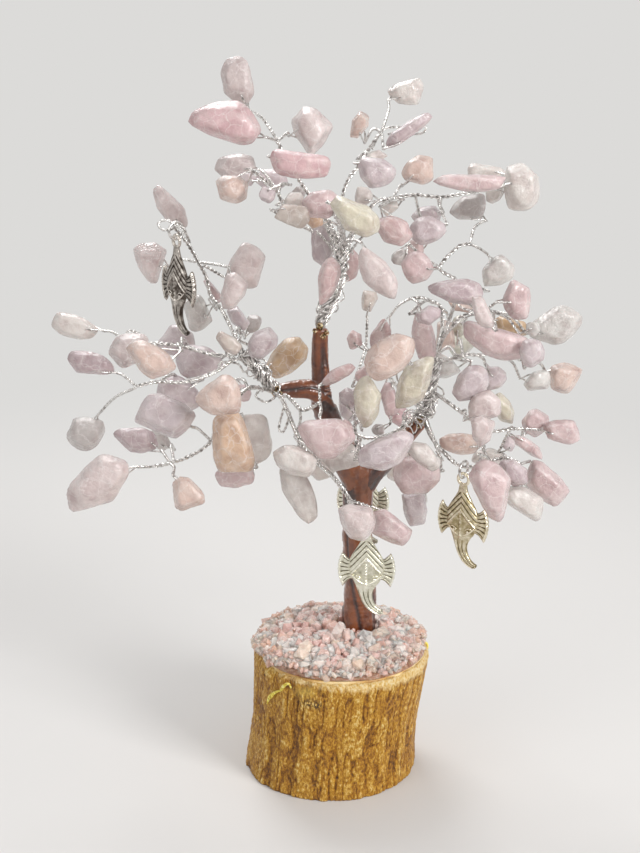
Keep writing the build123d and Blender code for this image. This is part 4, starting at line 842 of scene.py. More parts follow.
def twig_wire(course, wire, pitch, phase=0.0):
    """One wire: out along the twig, through the stone and back, wound round itself."""
    path = smooth_path(course[:-3], 0.35)
    over, under = course[-3:-1]
    out = strand(path, wire, pitch, phase)
    home = strand(path, wire, pitch, phase + math.pi)[::-1]
    through = (over + under) / 2
    lift = (over - under) / (np.linalg.norm(over - under) + 1e-9)
    loop = smooth_path([out[-1], over + 0.1 * lift, through, under - 0.1 * lift, home[0]], 0.3)[1:-1]
    return tube(np.concatenate([out, loop, home]), wire, 5)


STEM_WIRE, EXTRA_WIRE, TWIG_WIRE = 0.3, 0.27, 0.24  # radii
STEM_PITCH, EXTRA_PITCH, ROPE_PITCH, TWIG_PITCH = 2.9, 4.1, 4.4, 2.3  # lengths of one turn
for spray in sprays:
    parts = []
    for k, course in enumerate(stems[spray]):
        if spray == "front_low":
            parts += twisted_stem(course, 4, EXTRA_WIRE, ROPE_PITCH)
        else:
            inner_half = course[:max(3, len(course) // 2)]
            parts += twisted_stem(course, 2, STEM_WIRE, STEM_PITCH, 1.3 * k)
            parts += twisted_stem(inner_half, 3, EXTRA_WIRE, EXTRA_PITCH, 0.7)
    for k, course in enumerate(twigs[spray]):
        parts.append(twig_wire(course, TWIG_WIRE, TWIG_PITCH, 1.1 * k))
    add_piece("wires_" + spray, parts, silver_wire, "tree", ["spray_" + spray + "_wire"])

# %% [markdown]
# The bundles are where all the stems meet: nine strands wound tightly about a filler, sixteen looser
# ones round them that fray open at the end as the sprays part, and a few that wander.

# %% Bundles
rng = np.random.default_rng(37)


def loose_strand(path, reach, wire):
    """A strand that wanders about a path: slow sines of seeded phase push it out by its reach."""
    _, side, up = frames_along(path)
    s = lengths_along(path)
    share = s / s[-1]
    phase = rng.uniform(0, 2 * math.pi, 4)
    pace = rng.uniform(0.5, 1.1, 2)
    held = np.sin(np.clip(share * 1.3, 0, 1) * math.pi) ** 0.5
    out = reach * (0.55 + 0.45 * np.sin(pace[0] * s + phase[0])) * held
    turned = phase[2] + 0.32 * s + 0.8 * np.sin(pace[1] * s + phase[3])
    outward = side * np.cos(turned)[:, None] + up * np.sin(turned)[:, None]
    return tube(path + out[:, None] * outward, wire, 6)


for name, path in bundle_paths.items():
    length = lengths_along(path)
    parts = [tube(path, 1.0, 8)]
    spread = 1.45 + 0.35 * np.clip((length - length[-1] * 0.72) / (length[-1] * 0.28), 0, 1) ** 1.5
    spread *= np.clip(0.6 + length / 6, 0, 1)
    for k in range(16):
        wobble = 1 + 0.16 * np.sin(length * rng.uniform(0.5, 1.1) + k * 1.7)
        shown = int(len(path) * rng.uniform(0.8, 1.0))
        outer = strand(path, spread * wobble, rng.uniform(14, 22), 2 * math.pi * k / 16)
        parts.append(tube(outer[:shown], 0.25, 6))
    for k in range(9):
        parts.append(tube(strand(path, 0.8 * spread, 12, 1 + 2 * math.pi * k / 9), 0.28, 6))
    for k in range(5):
        parts.append(loose_strand(path, 2.9, 0.24))
    add_piece("bundle_" + name, parts, silver_wire, "tree", ["wire_bundle_" + name])

# %% [markdown]
# Hand-wound trees are untidy: spare wire is left in loops where a spray begins, and ends are
# tucked in. These loops follow the photograph, each as a smooth curve through a few pixels.

# %% Stray loops
loops = {
    "charm_loop": [(176, 226, 0), (169, 221, 0.01), (161, 221, 0.02), (158, 225, 0.02), (163, 230, 0.01),
                   (172, 229, 0), (177, 226, 0), (184, 229, 0.02), (190, 243, 0.08)],
    "far_loop": [(126, 345, -0.2), (128, 340, -0.19), (127, 332, -0.18), (133, 331, -0.17),
                 (146, 338, -0.16), (147, 343, -0.16), (154, 343, -0.19)],
    "top_loop": [(372, 149, 0.25), (382, 131, 0.3), (396, 127, 0.32), (412, 129, 0.3), (425, 126, 0.28),
                 (424, 132, 0.28), (414, 134, 0.3), (400, 132, 0.31), (388, 134, 0.3)],
    "front_loop": [(285, 404, -0.3), (281, 418, -0.33), (279, 429, -0.36), (283, 432, -0.37),
                   (287, 424, -0.35), (290, 412, -0.32)],
    "hook_loop": [(455, 300, 0), (462, 308, -0.02), (474, 310, -0.05), (470, 303, -0.03), (459, 297, 0)],
    "left_nest": [(240, 354, -0.12), (232, 346, -0.1), (226, 352, -0.12), (233, 360, -0.15),
                  (246, 358, -0.14), (252, 366, -0.12), (244, 372, -0.1), (238, 364, -0.1),
                  (222, 362, -0.12), (218, 368, -0.15)],
    "foot_nest": [(262, 388, -0.11), (256, 396, -0.16), (266, 402, -0.2), (276, 396, -0.18),
                  (280, 386, -0.12), (270, 380, -0.1), (262, 392, -0.12)],
}
loop_parts = []
for points in loops.values():
    path = smooth_path(route(points), 0.4)
    loop_parts += [tube(strand(path, 0.2, 2.3, k * math.pi), 0.2, 6) for k in range(2)]
print(len(loops), "loops")

# %% [markdown]
# Round the bundles single wires wander, where the ends were tucked in by hand. Over the top arm a
# dozen twisted pairs fan out.

# %% Wandering wires
nest_middle = bundle_paths["right"]
for k in range(12):
    start = rng.uniform(0, 0.25)
    first, last = int(len(nest_middle) * start), int(len(nest_middle) * rng.uniform(0.55, 1.0))
    loop_parts.append(loose_strand(nest_middle[first:last], rng.uniform(3.5, 6.5), 0.24))
for k in range(7):
    part = bundle_paths["left"][int(rng.uniform(0, 12)):]
    loop_parts.append(loose_strand(part, rng.uniform(2.5, 4.0), 0.22))
nest_route = smooth_path(route([(400, 428, -0.1), (412, 418, 0.0), (424, 412, 0.05), (432, 398, 0.08),
                                (437, 382, 0.06)]), 0.5)
for k in range(16):
    first = int(len(nest_route) * rng.uniform(0, 0.3))
    last = int(len(nest_route) * rng.uniform(0.6, 1.0))
    loop_parts.append(loose_strand(nest_route[first:last], rng.uniform(2.0, 4.5), 0.22))
for k in range(12):
    end_u = 318 + 4.2 * k + rng.uniform(-3, 3)
    end_v = 219 + 1.1 * abs(k - 5) + rng.uniform(-4, 6)
    end = (end_u, end_v, rng.uniform(-0.12, 0.12))
    begin = (330 + 0.75 * k, 296 - 3 * k % 20, 0)
    middle_spot = (336 + 0.9 * k, 258, rng.uniform(-0.04, 0.04))
    fan_path = smooth_path(route([begin, middle_spot, end]), 0.5)
    loop_parts += [tube(strand(fan_path, 0.22, 2.6, k + phase), 0.22, 6) for phase in (0, math.pi)]
top_path = bundle_paths["top"]
for k in range(7):
    loop_parts.append(loose_strand(top_path[int(rng.uniform(0, 25)):], rng.uniform(2.2, 3.6), 0.22))
add_piece("stray_wire", loop_parts, silver_wire, "tree")

# %% [markdown]
# ## The stones
# Every stone is one ball of points, each moved along its own direction. The ball has rings of points
# between two poles.

# %% A ball of directions
stone_rows, stone_columns = 24, 36
polar = np.linspace(0, math.pi, stone_rows + 2)[1:-1]
turns = np.arange(stone_columns) * 2 * math.pi / stone_columns
ball = np.stack([np.sin(polar)[:, None] * np.cos(turns), np.sin(polar)[:, None] * np.sin(turns),
                 np.cos(polar)[:, None] + 0 * turns], axis=-1).reshape(-1, 3)
ball = np.concatenate([ball, [(0, 0, 1), (0, 0, -1)]])
ball_faces = [face[::-1] for face in grid_faces(stone_rows, stone_columns)]
north, south = stone_rows * stone_columns, stone_rows * stone_columns + 1
last_ring = (stone_rows - 1) * stone_columns
for k in range(stone_columns):
    after = (k + 1) % stone_columns
    ball_faces += [[north, k, after], [south, last_ring + after, last_ring + k]]
print("a stone has", len(ball), "points")

# %% [markdown]
# Each stone starts from its measured solid: the planes of its faces bound a blunt crystal. A
# tumbler rounds it. In a direction from the middle, plane i is met at a distance t_i, and the rounded
# surface lies at (sum of t_i ** -p) ** (-1 / p), close to the nearest plane but never sharp.

# %% Rounding a measured stone
SHARPNESS = 24  # the power p: a higher one leaves crisper edges
CUTS = 9


def bounding_planes(corners, triangles):
    """Unit normals and offsets of the triangles whose planes hold all the corners."""
    a, b, c = (corners[triangles[:, k]] for k in range(3))
    normal = np.cross(b - a, c - a)
    area = np.linalg.norm(normal, axis=1)
    normal = normal[area > 1e-3] / area[area > 1e-3][:, None]
    offset = (normal * a[area > 1e-3]).sum(axis=1)
    outside = (corners @ normal.T - offset).max(axis=0)
    return normal[outside < 0.12], offset[outside < 0.12]


def tumbled(corners, triangles, seed, seen=False):
    """The rounded stone's points, and how pale each is at its edges: worn frost with a painted glow.
    A few seeded cuts, set a little inside the measured form, give it the chance facets of a broken
    stone before the tumbling. The paling is 1 on an edge, where two planes are met at the same
    distance. A stone with a seen outline keeps it: its cuts face mostly forwards or backwards and go less
    deep."""
    normal, offset = bounding_planes(corners, triangles)
    single = np.unique(np.round(normal, 2), axis=0, return_index=True)[1]
    normal, offset = normal[single], offset[single]
    middle = (corners.max(axis=0) + corners.min(axis=0)) / 4 + corners.mean(axis=0) / 2
    spread = corners - corners.mean(axis=0)
    axes = np.linalg.svd(spread, full_matrices=False)[2]
    axes[1] *= np.sign(np.linalg.det(axes))
    directions = ball[:, [2, 0, 1]] @ axes
    rng = np.random.default_rng(seed)
    cuts = rng.normal(size=(CUTS, 3))
    cuts = cuts * (0.5, 1, 0.5) if seen else cuts * (0.7, 1, 1) @ axes
    cuts /= np.linalg.norm(cuts, axis=1)[:, None]
    cut_depths = ((corners - middle) @ cuts.T).max(axis=0) * rng.uniform(0.8 if seen else 0.66, 0.93, CUTS)
    depths = np.concatenate([np.maximum(offset - normal @ middle, 0.2), cut_depths])
    facing = np.clip(directions @ np.concatenate([normal, cuts]).T, 0, None) / depths
    reach = (facing**SHARPNESS).sum(axis=1) ** (-1 / SHARPNESS)
    waves = rng.normal(size=(9, 3)) * ([[2.6]] * 6 + [[6.0]] * 3)
    dents = np.sin(directions @ waves.T + rng.uniform(0, 6, 9)) @ ([1 / 6] * 6 + [0.08] * 3)
    own = directions * (reach * (1 + 0.07 * dents))[:, None] @ axes.T
    wanted = (corners - middle) @ axes.T
    grow = np.ptp(wanted, axis=0) / np.ptp(own, axis=0)
    swell = 1.04 if seen else 1.07
    margin = (swell - 1) / 2 * np.ptp(wanted, axis=0)
    own = (own - own.min(axis=0)) * grow * swell + wanted.min(axis=0) - margin
    most = np.sort(facing, axis=1)
    # The edges are paled: worn frost, together with a painted glow of light through the thin edges.
    frost_and_glow = np.clip((most[:, -2] / most[:, -1] - 0.92) / 0.08, 0, 1) ** 1.5
    return middle + own @ axes, frost_and_glow


print("two equal planes round to", round(2 ** (-1 / SHARPNESS), 3), "of their distance")

# %% [markdown]
# The measured solids are simple crystals, so most stones that face the camera get their own outline
# as well: a few pixels round each, listed after the pixel of its drilled end. The outline
# lies at the stone's middle depth and is drawn in towards the front and the back, like a cut gem.

# %% Outlines of the stones in front
outlines = [
    ((513, 188), [(504, 180), (505, 167), (519, 163), (528, 164), (537, 173), (539, 186), (538, 199),
        (531, 207), (513, 209), (507, 206)]),
    ((493, 183), [(434, 182), (447, 174), (465, 174), (502, 176), (504, 184), (500, 189), (481, 192),
        (463, 191), (445, 186)]),
    ((497, 174), [(469, 165), (474, 163), (483, 166), (502, 168), (505, 176), (504, 182), (468, 177)]),
    ((496, 196), [(485, 190), (503, 187), (503, 193), (500, 200), (492, 204), (485, 201)]),
    ((474, 214), [(450, 212), (455, 203), (462, 197), (484, 193), (486, 206), (481, 219), (459, 219)]),
    ((494, 265), [(483, 272), (485, 265), (492, 259), (502, 255), (509, 259), (515, 268), (513, 279),
        (501, 285), (485, 286)]),
    ((510, 300), [(513, 280), (519, 281), (530, 287), (531, 301), (528, 317), (521, 319), (508, 315),
        (503, 300)]),
    ((473, 291), [(429, 288), (439, 284), (455, 281), (467, 280), (479, 285), (482, 296), (478, 304),
        (465, 306), (451, 302), (433, 293)]),
    ((490, 320), [(472, 298), (483, 297), (487, 307), (495, 323), (491, 328), (480, 326), (474, 316)]),
    ((506, 324), [(495, 320), (500, 316), (509, 318), (525, 322), (528, 329), (526, 336), (511, 335),
        (498, 331)]),
    ((477, 331), [(465, 324), (468, 320), (479, 323), (495, 329), (513, 334), (527, 338), (532, 346),
        (520, 358), (501, 359), (487, 355), (466, 338)]),
    ((541, 328), [(531, 325), (540, 318), (553, 309), (562, 307), (575, 310), (581, 316), (580, 324),
        (571, 335), (563, 342), (557, 344), (541, 340), (531, 336)]),
    ((529, 356), [(523, 341), (533, 338), (541, 341), (544, 352), (543, 360), (532, 369), (523, 363),
        (519, 352)]),
    ((532, 379), [(524, 384), (533, 372), (543, 370), (549, 371), (551, 382), (548, 388), (529, 390)]),
    ((558, 374), [(549, 372), (553, 366), (565, 363), (582, 370), (574, 386), (568, 393), (560, 393),
        (551, 388)]),
    ((492, 373), [(486, 367), (499, 367), (506, 374), (506, 383), (499, 388), (486, 391), (484, 379)]),
    ((467, 375), [(458, 376), (467, 367), (479, 365), (487, 370), (488, 382), (483, 393), (474, 398),
        (459, 400), (452, 392)]),
    ((443, 340), [(437, 321), (451, 319), (454, 334), (455, 346), (443, 349), (436, 345)]),
    ((453, 364), [(426, 357), (437, 352), (455, 361), (460, 371), (450, 377), (428, 377)]),
    ((90, 327), [(53, 320), (60, 313), (75, 315), (90, 321), (98, 330), (91, 338), (80, 340), (65, 336),
        (55, 328)]),
    ((104, 369), [(68, 359), (72, 351), (82, 350), (98, 354), (109, 360), (113, 372), (102, 375),
        (76, 374)]),
    ((134, 351), [(107, 352), (115, 338), (125, 335), (147, 335), (148, 343), (140, 360), (128, 369),
        (119, 366)]),
    ((166, 355), [(126, 349), (132, 343), (143, 341), (156, 346), (170, 355), (176, 367), (167, 376),
        (152, 379), (141, 372)]),
    ((178, 340), [(156, 344), (170, 326), (180, 325), (192, 333), (196, 348), (178, 356), (162, 352)]),
    ((214, 359), [(177, 354), (185, 345), (205, 346), (220, 358), (222, 366), (210, 375), (197, 380),
        (182, 376)]),
    ((191, 386), [(156, 391), (160, 382), (172, 376), (184, 379), (200, 393), (199, 405), (187, 410),
        (168, 406)]),
    ((178, 421), [(135, 422), (140, 409), (152, 396), (162, 395), (186, 406), (195, 415), (188, 429),
        (176, 439), (148, 427)]),
    ((220, 398), [(196, 401), (202, 390), (220, 377), (231, 376), (237, 384), (241, 400), (239, 412),
        (220, 415), (205, 412)]),
    ((227, 421), [(214, 418), (220, 410), (235, 409), (242, 418), (251, 441), (254, 460), (250, 470),
        (235, 474), (220, 472), (214, 458)]),
    ((244, 472), [(216, 477), (222, 468), (252, 466), (254, 475), (250, 484), (235, 488), (222, 486)]),
    ((249, 427), [(238, 418), (257, 414), (267, 420), (272, 447), (267, 459), (255, 464), (246, 458),
        (240, 440)]),
    ((148, 446), [(114, 434), (121, 429), (142, 428), (153, 433), (157, 447), (142, 452), (130, 451)]),
    ((119, 476), [(64, 497), (70, 484), (82, 470), (98, 456), (106, 454), (126, 460), (129, 472),
        (122, 484), (112, 500), (97, 504), (70, 509)]),
    ((184, 484), [(172, 481), (179, 477), (190, 479), (207, 498), (205, 504), (182, 512), (176, 508)]),
    ((92, 428), [(66, 434), (73, 420), (87, 418), (101, 422), (105, 432), (97, 448), (84, 453),
        (72, 445)]),
    ((274, 369), [(265, 368), (272, 354), (285, 340), (299, 337), (307, 350), (305, 361), (292, 373),
        (276, 379)]),
    ((255, 347), [(246, 348), (255, 332), (269, 328), (277, 337), (276, 347), (262, 359), (250, 357)]),
    ((232, 340), [(215, 337), (222, 332), (235, 338), (243, 347), (236, 355), (225, 351)]),
    ((331, 266), [(317, 284), (320, 270), (325, 262), (332, 258), (340, 265), (340, 278), (333, 295),
        (326, 302), (319, 304)]),
    ((371, 258), [(360, 253), (365, 247), (374, 253), (386, 263), (396, 277), (399, 289), (395, 297),
        (388, 298), (376, 292), (364, 281), (359, 268)]),
    ((369, 304), [(364, 289), (376, 291), (378, 298), (371, 310), (363, 310), (362, 300)]),
    ((398, 361), [(366, 361), (370, 351), (382, 339), (398, 335), (410, 337), (416, 348), (412, 359),
        (404, 368), (392, 377), (378, 381), (369, 375)]),
    ((403, 376), [(395, 400), (398, 382), (408, 363), (418, 358), (434, 357), (429, 381), (422, 401),
        (410, 407), (396, 408)]),
    ((364, 417), [(354, 392), (360, 380), (368, 376), (376, 384), (381, 393), (378, 413), (370, 425),
        (363, 427), (357, 418)]),
    ((350, 402), [(339, 393), (348, 387), (355, 392), (356, 407), (349, 409), (341, 402)]),
    ((332, 379), [(322, 381), (330, 371), (350, 363), (355, 368), (350, 375), (335, 383), (325, 386)]),
    ((389, 387), [(380, 393), (385, 383), (392, 384), (397, 395), (400, 407), (394, 415), (386, 413)]),
    ((324, 430), [(300, 425), (308, 421), (330, 423), (340, 420), (348, 424), (355, 438), (346, 447),
        (334, 456), (320, 457), (309, 447)]),
    ((369, 455), [(359, 457), (361, 448), (377, 439), (398, 432), (412, 437), (405, 452), (396, 465),
        (380, 472), (362, 468)]),
    ((430, 456), [(404, 448), (412, 442), (427, 444), (438, 457), (439, 468), (431, 470), (417, 462)]),
    ((429, 473), [(394, 470), (400, 460), (415, 455), (437, 464), (439, 480), (424, 494), (403, 494),
        (395, 482)]),
    ((421, 501), [(402, 495), (423, 491), (427, 510), (424, 522), (410, 524), (404, 512)]),
    ((305, 458), [(274, 453), (285, 444), (297, 446), (315, 456), (313, 468), (306, 476), (290, 474),
        (278, 467)]),
    ((295, 480), [(279, 470), (292, 466), (305, 473), (313, 490), (316, 515), (309, 523), (296, 512),
        (282, 490)]),
    ((353, 515), [(338, 508), (347, 504), (370, 507), (377, 518), (371, 532), (364, 540), (350, 538),
        (341, 524)]),
    ((383, 517), [(373, 513), (385, 509), (411, 530), (410, 540), (402, 546), (385, 541), (372, 533)]),
    ((420, 318), [(411, 330), (417, 312), (426, 311), (434, 333), (436, 352), (430, 359), (419, 356)]),
    ((423, 314), [(416, 313), (428, 306), (438, 308), (440, 317), (430, 325), (419, 322)]),
    ((426, 268), [(402, 263), (409, 254), (420, 250), (430, 260), (434, 270), (426, 280), (414, 284),
        (405, 277)]),
    ((434, 229), [(410, 226), (418, 218), (430, 216), (442, 222), (446, 231), (438, 241), (422, 245),
        (411, 239)]),
    ((388, 219), [(377, 221), (389, 214), (408, 222), (413, 236), (402, 246), (386, 242), (379, 232)]),
    ((342, 208), [(331, 204), (338, 196), (350, 200), (368, 206), (378, 216), (377, 232), (365, 237),
        (345, 229)]),
    ((244, 95), [(221, 74), (226, 61), (236, 57), (246, 59), (251, 72), (253, 93), (247, 103),
        (238, 102), (224, 92)]),
    ((248, 132), [(189, 124), (193, 112), (208, 105), (233, 100), (244, 105), (254, 121), (259, 134),
        (250, 143), (238, 144), (212, 137)]),
    ((303, 132), [(292, 120), (302, 108), (317, 110), (332, 126), (325, 141), (313, 154), (307, 153),
        (294, 131)]),
    ((285, 160), [(271, 157), (275, 149), (298, 153), (327, 156), (330, 164), (325, 176), (298, 178),
        (275, 172)]),
    ((242, 181), [(216, 182), (224, 176), (240, 177), (248, 184), (246, 198), (236, 204), (221, 199)]),
    ((248, 166), [(215, 168), (221, 155), (240, 153), (251, 156), (255, 168), (246, 179), (230, 181)]),
    ((278, 181), [(255, 181), (262, 172), (272, 170), (283, 173), (287, 184), (278, 190), (266, 189)]),
    ((401, 95), [(388, 91), (398, 83), (418, 78), (423, 87), (418, 104), (398, 103)]),
    ((362, 131), [(350, 137), (352, 121), (361, 110), (369, 115), (368, 126), (358, 138)]),
    ((397, 140), [(387, 145), (391, 134), (411, 120), (428, 112), (432, 118), (423, 128), (402, 143),
        (391, 148)]),
    ((368, 168), [(359, 165), (366, 158), (382, 159), (394, 167), (396, 174), (386, 183), (372, 188),
        (361, 176)]),
    ((413, 177), [(402, 173), (407, 161), (418, 155), (432, 158), (433, 180), (422, 184), (405, 180)]),
    ((324, 205), [(302, 202), (311, 193), (330, 190), (337, 196), (340, 208), (328, 217), (310, 216)]),
    ((430, 215), [(411, 216), (419, 208), (434, 206), (441, 215), (436, 226), (420, 227)]),
    ((178, 220), [(154, 189), (158, 185), (170, 194), (185, 209), (187, 219), (184, 229), (179, 228),
        (166, 219), (157, 208)]),
    ((159, 261), [(134, 250), (140, 245), (156, 243), (167, 251), (163, 264), (157, 283), (150, 282),
        (139, 268)]),
    ((235, 267), [(231, 258), (237, 246), (245, 243), (258, 249), (264, 257), (261, 272), (257, 286),
        (250, 288), (238, 285), (227, 274)]),
    ((230, 282), [(220, 297), (226, 276), (236, 272), (248, 284), (245, 294), (239, 302), (233, 309),
        (223, 308)]),
    ((212, 298), [(204, 282), (208, 280), (220, 293), (222, 300), (218, 305), (212, 301)]),
    ((204, 313), [(183, 303), (199, 295), (205, 302), (212, 319), (197, 332), (189, 328)]),
    ((238, 322), [(227, 310), (237, 306), (250, 323), (244, 331), (232, 323)]),
    ((470, 446), [(440, 439), (448, 434), (472, 434), (480, 442), (476, 453), (463, 455), (442, 450)]),
    ((481, 436), [(471, 420), (485, 415), (495, 422), (491, 440), (480, 446), (473, 437)]),
    ((475, 412), [(466, 406), (473, 395), (488, 391), (499, 399), (498, 416), (480, 421), (469, 418)]),
    ((496, 406), [(490, 403), (500, 394), (510, 402), (514, 412), (512, 423), (500, 422)]),
    ((518, 441), [(511, 436), (521, 434), (538, 446), (542, 459), (531, 455), (515, 444)]),
    ((531, 426), [(523, 420), (530, 411), (538, 409), (548, 416), (548, 428), (535, 437), (524, 431)]),
    ((551, 432), [(543, 428), (555, 421), (573, 421), (578, 430), (579, 440), (573, 446), (549, 439)]),
    ((484, 471), [(469, 476), (479, 462), (491, 460), (510, 478), (506, 500), (503, 514), (498, 521),
        (489, 517), (477, 496)]),
    ((494, 461), [(472, 460), (478, 452), (490, 448), (506, 455), (500, 466), (480, 466)]),
    ((510, 468), [(499, 463), (514, 460), (526, 470), (527, 483), (515, 488), (504, 477)]),
    ((525, 495), [(503, 494), (512, 487), (525, 488), (542, 498), (540, 518), (531, 519), (513, 508)]),
    ((538, 473), [(526, 474), (532, 462), (545, 464), (560, 477), (569, 490), (563, 500), (555, 506),
        (541, 500), (527, 485)]),
]
outline_holes = np.array([hole for hole, _ in outlines], float)
set_back = {(204, 313): 2.4}  # millimetres that keep this stone clear of the swinging left charm
FRONT_SHARE, BACK_SHARE = 0.62, 0.68  # a gem's size at its front and back, of its outline
OUTLINE_REACH = 2.5  # a stone takes the outline whose hole is this near its own, in pixels
print(len(outlines), "stones have an outline")


def gem_between(outline, front, back):
    """Corners and triangles of a gem: the outline's hull at the middle depth, and copies of it drawn
    in to their shares of its size at the front and back depths."""
    hull = np.array([outline[k] for k in convex_hull_2d(outline)], float)
    sides, heart = len(hull), hull.mean(axis=0)
    corners = []
    for depth, share in ((front, FRONT_SHARE), ((front + back) / 2, 1.0), (back, BACK_SHARE)):
        corners += [place(u, v, depth) for u, v in heart + share * (hull - heart)]
    corners = np.array(corners)
    after = [(k + 1) % sides for k in range(sides)]
    triangles = [(end, end + k, end + k + 1) for end in (0, 2 * sides) for k in range(1, sides - 1)]
    for row in (0, sides):
        triangles += [(row + k, row + sides + k, row + after[k]) for k in range(sides)]
        triangles += [(row + after[k], row + sides + k, row + sides + after[k]) for k in range(sides)]
    triangles = np.array(triangles)
    a, b, c = (corners[triangles[:, k]] for k in range(3))
    inward = (np.cross(b - a, c - a) * (a - corners.mean(axis=0))).sum(axis=1) < 0
    triangles[inward] = triangles[inward][:, ::-1]
    return corners, triangles


# %% [markdown]
# The stones were sorted into sixteen tones: each tone has a name, a colour that was set
# until its stones rendered alike, and the pixels of their drilled ends. A stone takes the tone
# of the nearest pixel.

# %% The stones' tones
tones = {
    "grey_pink": ("#ddd0d1", [(247, 103), (254, 168), (140, 349)]),
    "strong_pink": ("#ebc9ce", [(258, 135), (276, 158), (391, 410)]),
    "pale_pink": ("#eee0e1", [(296, 134), (493, 325), (470, 416), (351, 509), (182, 227), (230, 272),
                              (230, 275), (128, 471), (366, 250), (480, 441), (164, 264)]),
    "peach": ("#eed6cd", [(247, 176), (441, 346), (477, 446), (405, 363), (174, 353), (179, 480),
                          (224, 402), (408, 181), (363, 136), (474, 310), (552, 373)]),
    "lilac": ("#e2d5db", [(256, 180), (284, 183), (274, 190), (362, 166), (436, 214), (440, 227),
                          (527, 362), (489, 369), (469, 369), (504, 448), (361, 458), (352, 407),
                          (239, 327), (250, 351), (183, 343), (197, 383), (187, 386), (185, 424),
                          (527, 331), (423, 496), (221, 357)]),
    "grey": ("#d9d3d3", [(295, 200), (384, 427), (300, 441), (248, 332), (169, 446), (405, 250),
                         (480, 217), (94, 422)]),
    "pale": ("#f2ecea", [(284, 203), (364, 158), (372, 198), (397, 203), (506, 189), (500, 463),
                         (524, 489), (436, 458), (357, 456), (312, 459), (292, 472), (97, 329),
                         (245, 420), (503, 175), (500, 193), (395, 97)]),
    "peach_grey": ("#e0d4cd", [(278, 212), (236, 344), (368, 309)]),
    "pink": ("#ebd3d6", [(330, 207), (432, 268), (503, 183), (504, 301), (469, 327), (527, 430),
                         (545, 431), (481, 462), (534, 467), (436, 472), (417, 314), (389, 381),
                         (352, 441), (322, 424), (377, 512), (214, 303), (250, 470), (239, 385),
                         (513, 437)]),
    "tan": ("#edcdb3", [(323, 221), (226, 411)]),
    "cream": ("#ebe5d3", [(334, 205), (492, 402), (399, 370), (363, 424)]),
    "rosy": ("#e5c9ca", [(333, 258), (384, 213), (424, 244), (387, 323), (361, 346), (357, 382),
                         (326, 382)]),
    "mauve": ("#d6c4ca", [(390, 145), (481, 291), (419, 310), (111, 371), (155, 449), (508, 463)]),
    "clear": ("#ebe9e8", [(491, 260), (459, 363), (208, 309), (533, 331), (527, 379)]),
    "amber": ("#dbbb94", [(500, 322), (268, 374)]),
    "greenish": ("#dddccf", [(458, 337)]),
}
tone_pixels = np.array([pixel for _, pixels in tones.values() for pixel in pixels], float)
tone_colours = np.array([to_linear(code) for code, pixels in tones.values() for _ in pixels])
print(len(tones), "tones for", len(tone_pixels), "stones")

# %% [markdown]
# Each chip of the frame becomes a stone. Its hole is where its own twig passes through it, and the
# hole's pixel finds its outline and its tone. Its pale edges, worn frost and painted glow, go with the
# points.

# %% Tumbled stones
tumbled_quartz = quartz("tumbled_rose_quartz", 4.5, 0.16, 0.25, 2.2, 0.4)
serial = 0
for spray in sprays:
    parts, colours, frosts_and_glows = [], [], []
    holes = np.array([(course[-3] + course[-2]) / 2 for course in twigs[spray]])
    for corners, triangles in pieces_of("spray_" + spray + "_chips"):
        normal, offset = bounding_planes(corners, triangles)
        hole = holes[(holes @ normal.T - offset).max(axis=1).argmin()]
        away = np.linalg.norm(outline_holes - pixel_of(hole), axis=1)
        seen = away.min() < OUTLINE_REACH
        if seen:
            known, outline = outlines[away.argmin()]
            back = set_back.get(known, 0)
            near, far = corners[:, 1].min() + back, corners[:, 1].max() + back / 2
            corners, triangles = gem_between(outline, near, far)
        points, frost_and_glow = tumbled(corners, triangles, serial, seen)
        tone = tone_colours[np.linalg.norm(tone_pixels - pixel_of(hole), axis=1).argmin()]
        parts.append((points, ball_faces))
        colours.append(np.tile(tone, (len(points), 1)))
        frosts_and_glows.append(frost_and_glow)
        serial += 1
    values = {"stone_tone": np.concatenate(colours), "edge_frost_and_glow": np.concatenate(frosts_and_glows)}
    add_piece("stones_" + spray, parts, tumbled_quartz, "tree",
              ["spray_" + spray + "_chips"], values=values)
print(serial, "tumbled stones")

# %% [markdown]
# Two small stones hang inside the crown, against the top bundle, where only their outlines show.
# Each outline is a few pixels of the photograph, given a thickness and tumbled like the rest.

# %% Two inner stones
inner_outlines = {
    "lilac": ([(311, 226), (322, 222), (333, 232), (331, 256), (322, 267), (312, 258)], 4.0, 3.0,
              (328, 226)),
    "rosy": ([(346, 258), (354, 250), (362, 258), (357, 276), (347, 281), (344, 270)], 5.0, 2.6,
             (352, 252)),
}
parts, colours, frosts_and_glows, inner_wires = [], [], [], []
for tone_name, (outline, depth, thick, hole) in inner_outlines.items():
    corners, triangles = gem_between(outline, depth - thick / 2, depth + thick / 2)
    points, frost_and_glow = tumbled(corners, triangles, 500 + len(parts), True)
    parts.append((points, ball_faces))
    colours.append(np.tile(to_linear(tones[tone_name][0]), (len(points), 1)))
    frosts_and_glows.append(frost_and_glow)
    end = place(*hole, depth - thick / 2 - 0.2)
    twig = smooth_path([place(338, 246, 0), (place(338, 246, 0) + end) / 2 + (0, 0, 1.0), end,
                        place(hole[0], hole[1] + 5, depth)], 0.35)
    inner_wires += [tube(strand(twig, 0.24, 2.3, k * math.pi), 0.22, 6) for k in range(2)]
add_piece("stones_inner", parts, tumbled_quartz, "tree",
          values={"stone_tone": np.concatenate(colours), "edge_frost_and_glow": np.concatenate(frosts_and_glows)})
add_piece("wires_inner", inner_wires, silver_wire, "tree")

# %% [markdown]
# ## Elephant charms
# Small castings in the round: an oval forehead that narrows to a curled trunk, fan ears with ribs,
# crescent eyes and a row of beads down the middle. The casting is dark in its hollows, where the
# patina stays, and bright on its ridges, where it was polished off.

# %% Head and trunk
WIDE, LONG, DEEP = 16.2, 24.5, 2.6
